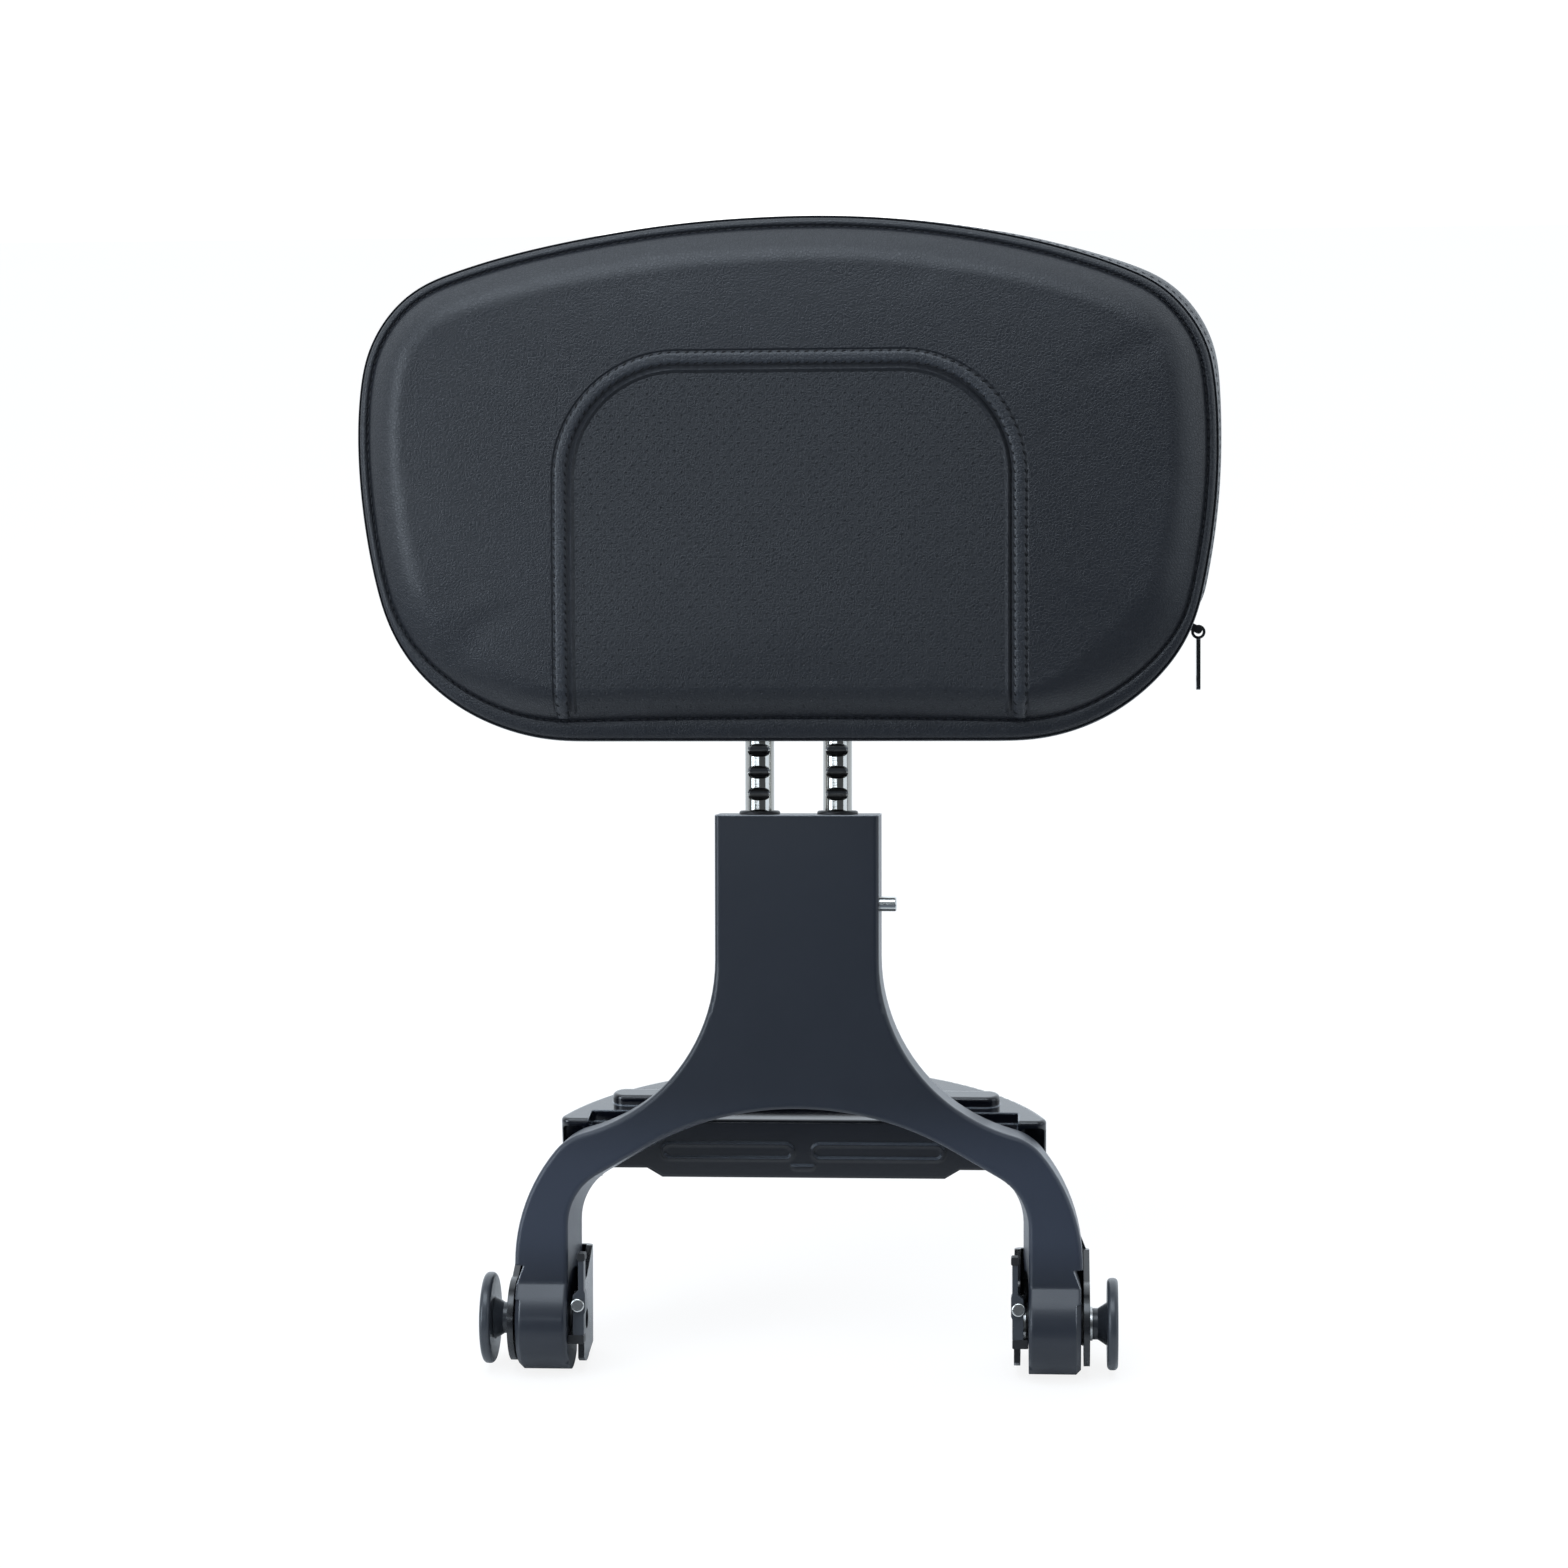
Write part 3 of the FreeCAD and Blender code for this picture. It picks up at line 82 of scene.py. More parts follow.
# Cushion
stations = 240            # points round the outline
grid_span = stations // 4
seam_inset = 4.6          # millimetres from the front rim's outer edge to the front seam
rim_seam_inset = 0.82
rim_step = 0.6            # the front rim sits this far inside the side band
band_swell = 0.6
right_corner_roll = 4.0   # the side band spreads towards the back round the upper corners
left_corner_roll = 1.6
bevel_width = 15.5        # slope between the front seam and the flat of the face
bevel_rise = 10.0
face_crown = 2.1
cover_swell = 1.1         # the most that the cover may move in its cloth run
cloth_frames = 20
back_depth = 5.2          # the back panel's edge stands this far behind the side band
back_crown = 0.3
gusset_step = 1.2
gusset_height = 54.9      # the side band ends this far above the cushion's underside
insert_half_width = 95.4
insert_top = 155.8
insert_corner = 50.4
band_width = 5.7
band_proud = 0.9
hole_pitch = 5.7
hole_radius = 0.45
insert_marks_from = 45.0  # the insert's seams are drawn on what lies this far before the pivot axis
stitch_pitch = 3.7
side_row_depth = 4.2      # the side band's own row of stitches, behind the front seam
tooth_pitch = 1.25
tooth_run = 0.75
tooth_length = 2.3
tooth_height = 1.1
tooth_stagger = 0.75      # the two rows of teeth stand this far off the zipper's middle
zipper_setback = 22.0
post_radius = 6.0


def deselect():
    if bpy.context.object and bpy.context.object.mode != "OBJECT":
        bpy.ops.object.mode_set(mode="OBJECT")
    bpy.ops.object.select_all(action="DESELECT")


def select_only(form):
    deselect()
    bpy.context.view_layer.objects.active = form
    form.select_set(True)


def upright_points(node):
    """A CAD node's vertices in the upright frame, in millimetres."""
    return [(unstand @ vertex.co) / MM for vertex in frame["nodes"][node].data.vertices]


def reach(node, axis):
    """Lowest and highest value of a CAD node along an upright axis, in millimetres."""
    values = [point[axis] for point in upright_points(node)]
    return min(values), max(values)


seam_y, band_back_y = reach("upper_band", 1)
pad_bottom, pad_top = reach("rear_cover", 2)
pad_middle = Vector((0.0, (pad_bottom + pad_top) / 2))
post_x = sum(reach("post_right", 0)) / 2
gusset_top = pad_bottom + gusset_height
zipper_y = seam_y + zipper_setback


# Shader tools

class Value:
    """A shader socket that Python arithmetic can combine."""

    def __init__(self, shade, socket):
        self.shade = shade
        self.socket = socket

    def math(self, operation, *others, clamp=False):
        values = dict(enumerate((self,) + others))
        return self.shade.node("ShaderNodeMath", {"operation": operation, "use_clamp": clamp}, values)

    def __add__(self, other):
        return self.math("ADD", other)

    def __sub__(self, other):
        return self.math("SUBTRACT", other)

    def __rsub__(self, other):
        return self.shade.node("ShaderNodeMath", {"operation": "SUBTRACT"}, {0: other, 1: self})

    def __mul__(self, other):
        return self.math("MULTIPLY", other)

    def __truediv__(self, other):
        return self.math("DIVIDE", other)

    __radd__ = __add__
    __rmul__ = __mul__

    def clipped(self):
        return self.math("ADD", 0.0, clamp=True)

    def fading(self, low, high):
        """0 below low, 1 above high, smooth between."""
        settings = {"interpolation_type": "SMOOTHSTEP"}
        return self.shade.node("ShaderNodeMapRange", settings, {"Value": self, "From Min": low, "From Max": high})


class Shade:
    """A material in the making. Any node comes from node()."""

    def __init__(self, name):
        self.material = bpy.data.materials.new(name)
        self.material.use_nodes = True
        self.nodes = self.material.node_tree.nodes
        self.links = self.material.node_tree.links
        self.nodes.clear()

    def node(self, kind, settings=None, inputs=None, output=0):
        made = self.nodes.new(kind)
        for key, setting in (settings or {}).items():
            setattr(made, key, setting)
        for key, value in (inputs or {}).items():
            if isinstance(value, Value):
                self.links.new(value.socket, made.inputs[key])
            else:
                made.inputs[key].default_value = value
        return Value(self, made.outputs[output])

    def place(self):
        return self.node("ShaderNodeTexCoord", output="Object")

    def sewing_place(self):
        """Millimetres along the outline and from the front seam inwards, where the piece's
        first map holds them."""
        along, across, _ = self.axes(self.node("ShaderNodeTexCoord", output="UV"))
        return along, across

    def upright_place(self):
        """Object coordinates turned into the cushion's upright frame."""
        shift = Matrix.Rotation(lean, 3, "X") @ -pivot
        inputs = {"Vector": self.place(), "Rotation": (lean, 0, 0), "Location": shift}
        return self.node("ShaderNodeMapping", {}, inputs)

    def axes(self, vector):
        parts = self.node("ShaderNodeSeparateXYZ", {}, {0: vector}).socket.node
        return [Value(self, socket) for socket in parts.outputs]

    def noise(self, vector, scale, detail):
        return self.node("ShaderNodeTexNoise", {}, {"Vector": vector, "Scale": scale, "Detail": detail})

    def cells(self, vector, scale, feature="DISTANCE_TO_EDGE", wander=1.0):
        inputs = {"Vector": vector, "Scale": scale, "Randomness": wander}
        return self.node("ShaderNodeTexVoronoi", {"feature": feature}, inputs, "Distance")

    def stretched(self, vector, scale):
        return self.node("ShaderNodeMapping", {}, {"Vector": vector, "Scale": scale})

    def mix(self, factor, first, second):
        return self.node("ShaderNodeMix", {"data_type": "RGBA"}, {0: factor, 6: first, 7: second}, 2)

    def rounded(self, radius):
        """A normal that softens every edge by a small radius."""
        return self.node("ShaderNodeBevel", {"samples": 6}, {"Radius": radius})

    def bump(self, height, distance, normal=None):
        inputs = {"Height": height, "Distance": distance, "Strength": 1.0}
        if normal:
            inputs["Normal"] = normal
        return self.node("ShaderNodeBump", {}, inputs)

    def edges(self, radius):
        """1 on sharp edges, 0 on flats."""
        true_normal = self.node("ShaderNodeNewGeometry", output="Normal")
        settings = {"operation": "DOT_PRODUCT"}
        agree = self.node("ShaderNodeVectorMath", settings, {0: self.rounded(radius), 1: true_normal}, "Value")
        return (1.0 - agree).fading(0.02, 0.25)

    def finish(self, colour, roughness, normal=None, **fixed):
        inputs = {"Base Color": colour, "Roughness": roughness}
        if normal:
            inputs["Normal"] = normal
        inputs.update({key.replace("_", " "): value for key, value in fixed.items()})
        shader = self.node("ShaderNodeBsdfPrincipled", {}, inputs)
        self.output(shader)
        return self.material

    def output(self, shader):
        made = self.nodes.new("ShaderNodeOutputMaterial")
        self.links.new(shader.socket, made.inputs["Surface"])


def paint(red, green, blue):
    """A colour given in 8-bit display values, as the renderer's linear one."""
    def linear(channel):
        level = channel / 255
        return level / 12.92 if level <= 0.04045 else ((level + 0.055) / 1.055) ** 2.4
    return (linear(red), linear(green), linear(blue), 1.0)


# Materials

def coated_metal(name, colour, lifted, roughness, grain, depth, coat, edge=0.0005, painted_low_light=0.0, painted_rim_highlight=None):
    """Powder coat or paint: fine orange peel, cloudy gloss, and edges made paler partly by rubbed
    wear and partly by painted highlight. It may have a band of painted light just above the
    pivots, and a painted highlight on its upper edges."""
    shade = Shade(name)
    place = shade.place()
    clouds = shade.noise(place, 35.0, 4.0)
    fine = shade.noise(place, grain, 2.0)
    specks = shade.noise(place, grain * 2.3, 1.0)
    rubbed_and_highlit = shade.edges(0.0007) * clouds.fading(0.35, 0.65)
    base = shade.mix(clouds * 0.5, colour, lifted)
    # Painted light: a paler band just above the pivots stands in for light falling from below.
    if painted_low_light:
        height = shade.axes(shade.upright_place())[2]
        low = (1.0 - height.fading(0.06, 0.1)) * height.fading(0.012, 0.04)
        base = shade.mix(low * painted_low_light, base, tuple(2.6 * channel for channel in lifted[:3]) + (1.0,))
    # Paler edges: partly rubbed wear, partly painted highlight.
    base = shade.mix(rubbed_and_highlit * 0.35, base, tuple(min(1.0, channel * 2.2) for channel in lifted[:3]) + (1.0,))
    # Painted highlight: upward-facing edges take a pale colour, as if they caught the light.
    if painted_rim_highlight:
        upwards = shade.axes(shade.rounded(edge))[2].fading(0.2, 0.45)
        base = shade.mix(shade.edges(edge) * upwards * (0.7 + clouds * 0.5), base, painted_rim_highlight)
    gloss = roughness + (clouds - 0.5) * 0.1 + (specks - 0.5) * 0.06 + rubbed_and_highlit * 0.05
    normal = shade.bump(fine + specks * 0.4, depth, shade.rounded(edge))
    return shade.finish(base, gloss, normal, Coat_Weight=coat, Coat_Roughness=0.12, Specular_IOR_Level=0.45)


def bright_metal(name, colour, roughness, lines, streaks, notched=False):
    """Plated or turned metal with fine drawn lines and a little haze. The notches are painted
    darker, as painted shade."""
    shade = Shade(name)
    place = shade.upright_place()
    haze = shade.noise(place, 60.0, 4.0)
    drawn = shade.noise(shade.stretched(place, lines), 1.0, 3.0)
    gloss = roughness + (haze - 0.5) * 0.08 + (drawn - 0.5) * streaks
    base = shade.mix(haze.fading(0.3, 0.8) * 0.25, colour, tuple(0.72 * c for c in colour[:3]) + (1.0,))
    if notched:
        x, y, _ = shade.axes(place)
        off = x.math("ABSOLUTE") - post_x * MM
        radius = (off * off + y * y).math("SQRT")
        # Painted shade: the notches are made dark, and a little rougher.
        notch_shade = 1.0 - radius.fading((post_radius - 0.7) * MM, (post_radius - 0.4) * MM)
        base = shade.mix(notch_shade * 0.9, base, (0.06, 0.06, 0.06, 1.0))
        gloss = gloss + notch_shade * 0.2
    normal = shade.bump(drawn, 0.000012, shade.rounded(0.00025))
    return shade.finish(base, gloss, normal, Metallic=1.0)


def moulded(name, colour, roughness, grain, depth, edge):
    """Moulded plastic or rubber: faint pebbling, softened edges."""
    shade = Shade(name)
    place = shade.place()
    pebble = shade.cells(place, grain, "SMOOTH_F1", 0.9)
    clouds = shade.noise(place, 90.0, 3.0)
    base = shade.mix(clouds * 0.4, colour, tuple(min(1.0, 1.5 * c) for c in colour[:3]) + (1.0,))
    gloss = roughness + (clouds - 0.5) * 0.12
    return shade.finish(base, gloss, shade.bump(pebble, depth, shade.rounded(edge)), Specular_IOR_Level=0.5)


def arch_distance(shade, place):
    """Signed distance to the insert's outline in millimetres, negative inside."""
    x, _, z = shade.axes(place)
    side = x.math("ABSOLUTE") / MM - (insert_half_width - insert_corner)
    up = z / MM - (pad_bottom + insert_top - insert_corner)
    across = side.math("MAXIMUM", 0.0)
    above = up.math("MAXIMUM", 0.0)
    outside = (across * across + above * above).math("SQRT")
    inside = side.math("MAXIMUM", up).math("MINIMUM", 0.0)
    return outside + inside - insert_corner


def perforations(shade, place):
    """1 in the middle of each punched hole, on a staggered grid."""
    x, _, z = shade.axes(place)
    nearest = None
    for shift in (0.0, 0.5):
        u = (x / (hole_pitch * MM) + shift).math("FRACT") - 0.5
        v = (z / (hole_pitch * MM) + shift).math("FRACT") - 0.5
        distance = (u * u + v * v).math("SQRT") * hole_pitch
        nearest = distance if nearest is None else nearest.math("MINIMUM", distance)
    return 1.0 - nearest.fading(hole_radius * 0.7, hole_radius * 1.4)


def stitch_holes(shade, along, across, offset):
    """1 at each needle hole of a sewn line, and 1 along the line itself."""
    turn = (along / true_pitch + 0.5).math("FRACT") - 0.5
    spacing = turn.math("ABSOLUTE") * true_pitch
    away = (across - offset).math("ABSOLUTE")
    reach = (spacing * spacing + away * away * 0.5).math("SQRT")
    return 1.0 - reach.fading(0.2, 1.3), 1.0 - away.fading(0.15, 0.6)


def leather(name, colour, lifted, sewn):
    """Black leatherette: pebble grain, creases, sheen that varies, pinched seams, and painted shade in the seams,
    holes and creases.
    """
    shade = Shade(name)
    place = shade.upright_place()
    swirl = shade.node("ShaderNodeTexNoise", {}, {"Vector": place, "Scale": 260.0}, "Color")
    warped = shade.node("ShaderNodeVectorMath", {"operation": "MULTIPLY_ADD"},
                        {0: swirl, 1: (0.0012, 0.0012, 0.0012), 2: place})
    pebble = shade.cells(warped, 700.0).fading(0.0, 0.25)
    fine = shade.cells(warped, 1700.0).fading(0.0, 0.3)
    waves = shade.noise(place, 170.0, 3.0)
    clouds = shade.noise(place, 13.0, 5.0)
    specks = shade.noise(place, 900.0, 2.0).fading(0.58, 0.72)
    height = pebble * 0.7 + fine * 0.3 + waves * 0.8
    valley = 1.0 - pebble
    base = shade.mix(clouds.fading(0.3, 0.7), colour, lifted)
    base = shade.mix(valley * 0.55, base, tuple(0.4 * c for c in colour[:3]) + (1.0,))
    base = shade.mix(specks * 0.45, base, tuple(1.7 * c for c in lifted[:3]) + (1.0,))
    gloss = 0.38 + (clouds - 0.5) * 0.14 + valley * 0.14 - specks * 0.1
    if sewn:
        along, across = shade.sewing_place()
        dark = None
        # Needle holes and seam lines get painted shade; the third value of each row is its strength.
        for offset, pinch, shadow in ((0.0, 1.0, 0.8), (rim_seam_inset - seam_inset, 0.3, 0.9),
                                      (stitch_row_across, 1.0, 0.65)):
            hole, line = stitch_holes(shade, along, across, offset)
            height = height - (hole * 5.0 + line * 2.0) * pinch
            painted_seam_shade = (hole * pinch).math("MAXIMUM", line * shadow)
            dark = painted_seam_shade if dark is None else dark.math("MAXIMUM", painted_seam_shade)
        pulled = shade.node("ShaderNodeCombineXYZ", {}, {0: along * 0.42, 1: across * 0.06})
        drawn = (shade.noise(pulled, 1.0, 3.0) - 0.5) * (1.0 - across.math("ABSOLUTE").fading(1.0, 9.0))
        height = height + drawn * 7.0
        arch = arch_distance(shade, place)
        _, y, _ = shade.axes(place)
        front = (0.0 - y).fading(insert_marks_from * MM, (insert_marks_from + 3.0) * MM)
        panel = (0.0 - arch).fading(band_width + 2.6, band_width + 3.4) * front
        holes = perforations(shade, place) * panel
        crease = (1.0 - (arch.math("ABSOLUTE") / 0.8).clipped()) * front
        inner = (1.0 - ((arch + band_width + 0.35).math("ABSOLUTE") / 0.9).clipped()) * front
        lip = (1.0 - ((arch + band_width + 1.9).math("ABSOLUTE") / 1.3).clipped()) * front
        # Painted shade in the perforations, in the crease at the insert's edge and in the groove inside the band.
        dark = dark.math("MAXIMUM", holes * 0.8).math("MAXIMUM", crease * 0.5).math("MAXIMUM", inner)
        base = shade.mix(panel * 0.7, base, paint(56, 60, 66))
        # The painted shade turns everything in dark nearly black.
        base = shade.mix(dark * 0.85, base, paint(10, 12, 17))
        height = height - holes * 4.0 - crease * 4.0 - inner * 10.0 + lip * 9.0
        gloss = gloss + panel * 0.05
    normal = shade.bump(height, 0.00012)
    return shade.finish(base, gloss, normal, Specular_IOR_Level=0.5, Coat_Weight=0.15, Coat_Roughness=0.28)


def thread(name, colour):
    """Twisted polyester thread."""
    shade = Shade(name)
    x, y, z = shade.axes(shade.upright_place())
    twist = ((x + z) * 9000.0 + y * 4000.0).math("SINE")
    # The twist's lighter crests are a painted highlight.
    base = shade.mix(twist.fading(-1.0, 1.0) * 0.6, colour, tuple(1.8 * c for c in colour[:3]) + (1.0,))
    return shade.finish(base, 0.5 + twist * 0.05, shade.bump(twist, 0.00004), Specular_IOR_Level=0.3)


def woven_tape(name, colour):
    """Ribbed zipper tape."""
    shade = Shade(name)
    x, y, z = shade.axes(shade.upright_place())
    ribs = (y * (math.tau / (0.8 * MM))).math("SINE")
    weft = ((x + z) * (math.tau / (0.5 * MM))).math("SINE")
    height = ribs.math("MAXIMUM", weft * 0.8)
    base = shade.mix(height.fading(-0.6, 0.8), tuple(0.4 * c for c in colour[:3]) + (1.0,), colour)
    return shade.finish(base, 0.85 + ribs * 0.05, shade.bump(height, 0.0001), Sheen_Weight=0.3)


def foam(name):
    """Open-cell cushion foam."""
    shade = Shade(name)
    cells = shade.cells(shade.place(), 900.0)
    base = shade.mix(cells.fading(0.0, 0.2), paint(120, 108, 70), paint(212, 196, 140))
    return shade.finish(base, 0.95 - cells * 0.1, shade.bump(cells, 0.0003))


def plywood(name):
    """Birch board with straight grain."""
    shade = Shade(name)
    place = shade.upright_place()
    grain = shade.noise(shade.stretched(place, (8.0, 60.0, 420.0)), 1.0, 5.0)
    base = shade.mix(grain.fading(0.3, 0.7), paint(176, 138, 92), paint(214, 182, 134))
    return shade.finish(base, 0.6 + grain * 0.2, shade.bump(grain, 0.00008))


def make_finishes():
    """One material for each of the record's slots, and two for the sewing."""
    return {
        # The bracket's pale edge colour is a painted highlight.
        "bracket_black": coated_metal("bracket_black", paint(9, 11, 18), paint(14, 17, 27), 0.16, grain=420.0,
                                      depth=0.00002, coat=0.4, edge=0.0016, painted_rim_highlight=paint(120, 128, 138)),
        # The casting has painted light low on its arms and a painted highlight on its upper edges.
        "casting_black": coated_metal("casting_black", paint(28, 32, 40), paint(34, 38, 47), 0.38, grain=1500.0,
                                      depth=0.00003, coat=0.1, edge=0.0011, painted_low_light=0.55,
                                      painted_rim_highlight=paint(235, 238, 242)),
        "yoke_black": coated_metal("yoke_black", paint(15, 16, 19), paint(22, 24, 28), 0.28, grain=700.0,
                                   depth=0.00002, coat=0.3),
        "bolt_steel": bright_metal("bolt_steel", (0.52, 0.52, 0.51, 1.0), 0.3, lines=(900.0, 900.0, 60.0),
                                   streaks=0.1),
        "insert_brass": bright_metal("insert_brass", (0.71, 0.53, 0.24, 1.0), 0.28, lines=(900.0, 900.0, 900.0),
                                     streaks=0.1),
        "latch_grey": coated_metal("latch_grey", paint(50, 53, 58), paint(62, 65, 70), 0.36, grain=900.0,
                                   depth=0.00002, coat=0.1),
        "pin_bright": bright_metal("pin_bright", (0.6, 0.6, 0.58, 1.0), 0.2, lines=(900.0, 300.0, 300.0),
                                   streaks=0.08),
        "latch_rubber": moulded("latch_rubber", paint(14, 14, 16), 0.5, grain=900.0, depth=0.00003, edge=0.0004),
        "knob_plastic": moulded("knob_plastic", paint(46, 49, 54), 0.3, grain=1400.0, depth=0.00002, edge=0.0005),
        "bearing_nylon": moulded("bearing_nylon", paint(24, 24, 26), 0.45, grain=900.0, depth=0.00002,
                                 edge=0.0003),
        "post_chrome": bright_metal("post_chrome", (0.5, 0.49, 0.46, 1.0), 0.09, lines=(200.0, 200.0, 2600.0),
                                    streaks=0.06, notched=True),
        "zipper_metal": coated_metal("zipper_metal", paint(18, 19, 21), paint(30, 31, 34), 0.3, grain=900.0,
                                     depth=0.00001, coat=0.2),
        "zipper_tape": woven_tape("zipper_tape", paint(30, 32, 36)),
        "cushion_foam": foam("cushion_foam"),
        "board_wood": plywood("board_wood"),
        "cover_leather": leather("cover_leather", paint(38, 43, 54), paint(47, 53, 65), sewn=True),
        "insert_leather": leather("insert_leather", paint(31, 34, 40), paint(38, 41, 47), sewn=False),
        "thread_dark": thread("thread_dark", paint(6, 7, 10)),
        # A painted lighter copy of the dark thread, for the side and back rows.
        "thread_painted_lit": thread("thread_painted_lit", paint(26, 29, 35)),
    }


def dress_frame(finishes):
    """Gives every CAD node the material of its own slot."""
    for part in frame["nodes"].values():
        for holder in part.material_slots:
            slot = holder.material.name.split(".")[0]
            if slot in finishes:
                holder.material = finishes[slot]


# Cushion form

# How far the sewn cover stands out from the CAD outline, in millimetres, by the direction
# it faces, in degrees from the right and over the top
cover_fullness = [
    (0, -0.8), (15, -1.0), (30, -0.6), (45, -0.1), (57, 1.2), (68, 2.5), (77, 3.2), (85, 2.6), (92, 1.6), (100, 1.8),
    (107, 3.1), (115, 3.0), (125, 3.1), (135, 3.1), (150, 2.7), (165, 3.3), (180, 4.6), (195, 4.4), (210, 3.9),
    (225, 3.0), (250, 1.2), (270, 1.1), (290, 1.0), (315, 1.2), (335, 1.7), (350, 0.3), (360, -0.8)]


def softened(values, passes):
    """Evens out a closed run of values, each with its two neighbours."""
    for _ in range(passes):
        values = (np.roll(values, 1, axis=0) + 2 * values + np.roll(values, -1, axis=0)) / 4
    return values


def facing_inward(line):
    """The direction towards the middle at each point of a closed line."""
    along = np.roll(line, -1, axis=0) - np.roll(line, 1, axis=0)
    along /= np.hypot(along[:, 0], along[:, 1])[:, None]
    return np.column_stack([-along[:, 1], along[:, 0]])


def outline():
    """Even points round the cushion's outline, from the middle of the underside to the
    right and over the top, with the inward direction at each, in millimetres."""
    flat = [(point.x, point.z) for point in upright_points("rear_cover")]
    hull = [Vector(flat[index]) for index in convex_hull_2d(flat)]
    hull.sort(key=lambda p: (math.atan2(p.y - pad_middle.y, p.x) + math.pi / 2) % math.tau)
    corners = np.array([tuple(point) for point in hull + hull[:1]])
    gone = np.concatenate([[0.0], np.cumsum(np.hypot(*np.diff(corners, axis=0).T))])
    fine = 4 * stations
    marks = np.linspace(0.0, gone[-1], fine, endpoint=False)
    line = np.column_stack([np.interp(marks, gone, corners[:, axis]) for axis in (0, 1)])
    line = softened(line, 40)
    inward = facing_inward(line)
    facing = np.degrees(np.arctan2(-inward[:, 1], -inward[:, 0])) % 360
    fullness = softened(np.interp(facing, *zip(*cover_fullness)), 200)
    line = line - inward * fullness[:, None]
    return line[::4], facing_inward(line)[::4]


def smooth_step(value, low, high):
    share = np.clip((value - low) / (high - low), 0.0, 1.0)
    return share * share * (3 - 2 * share)


def corner_share(x, z):
    """1 where the outline faces (x, z), falling to 0 some 50 degrees away from it."""
    facing = np.degrees(np.arccos(np.clip(-inward @ np.array((x, z)) / math.hypot(x, z), -1, 1)))
    return 1 - smooth_step(facing, 0, 50)


rim, inward = outline()
outline_length = float(np.hypot(*(np.roll(rim, -1, axis=0) - rim).T).sum())
stitch_count = round(outline_length / stitch_pitch)
true_pitch = outline_length / stitch_count
stitch_row_across = -seam_inset - side_row_depth
underside = smooth_step(inward[:, 1], 0.3, 0.95)
seam_shift = underside * (3.0 + 2.0 * np.clip(1 - (rim[:, 0] / 115) ** 2, 0, 1))
corner_roll = right_corner_roll * corner_share(0.72, 0.69) + left_corner_roll * corner_share(-0.72, 0.69)
corner_roll = softened(corner_roll, 40)
lower_corner = 4 * (inward[:, 0] * np.clip(inward[:, 1], 0, 1)) ** 2
bevel = bevel_width + 9.0 * lower_corner - 3.0 * underside
below_band = 1 - smooth_step(rim[:, 1], gusset_top - 1.0, gusset_top + 1.0)
rim_setback = corner_roll + rim_step * smooth_step(rim[:, 1], gusset_top - 26, gusset_top + 8)


def ring_at(inset, y):
    """A ring of points pulled in from the outline; both values may differ by station."""
    flat = rim + inward * np.broadcast_to(inset, stations)[:, None]
    return np.column_stack([flat[:, 0], np.broadcast_to(y, stations), flat[:, 1]])


def ring_towards_middle(ring, share, y):
    middle = np.array([0.0, 0.0, pad_middle.y])
    shrunk = middle + (ring - middle) * share
    shrunk[:, 1] = y
    return shrunk


def back_at(share):
    """The back's depth at a share of the way from its middle to its edge."""
    return band_back_y + back_depth + back_crown * (1 - share ** 2)


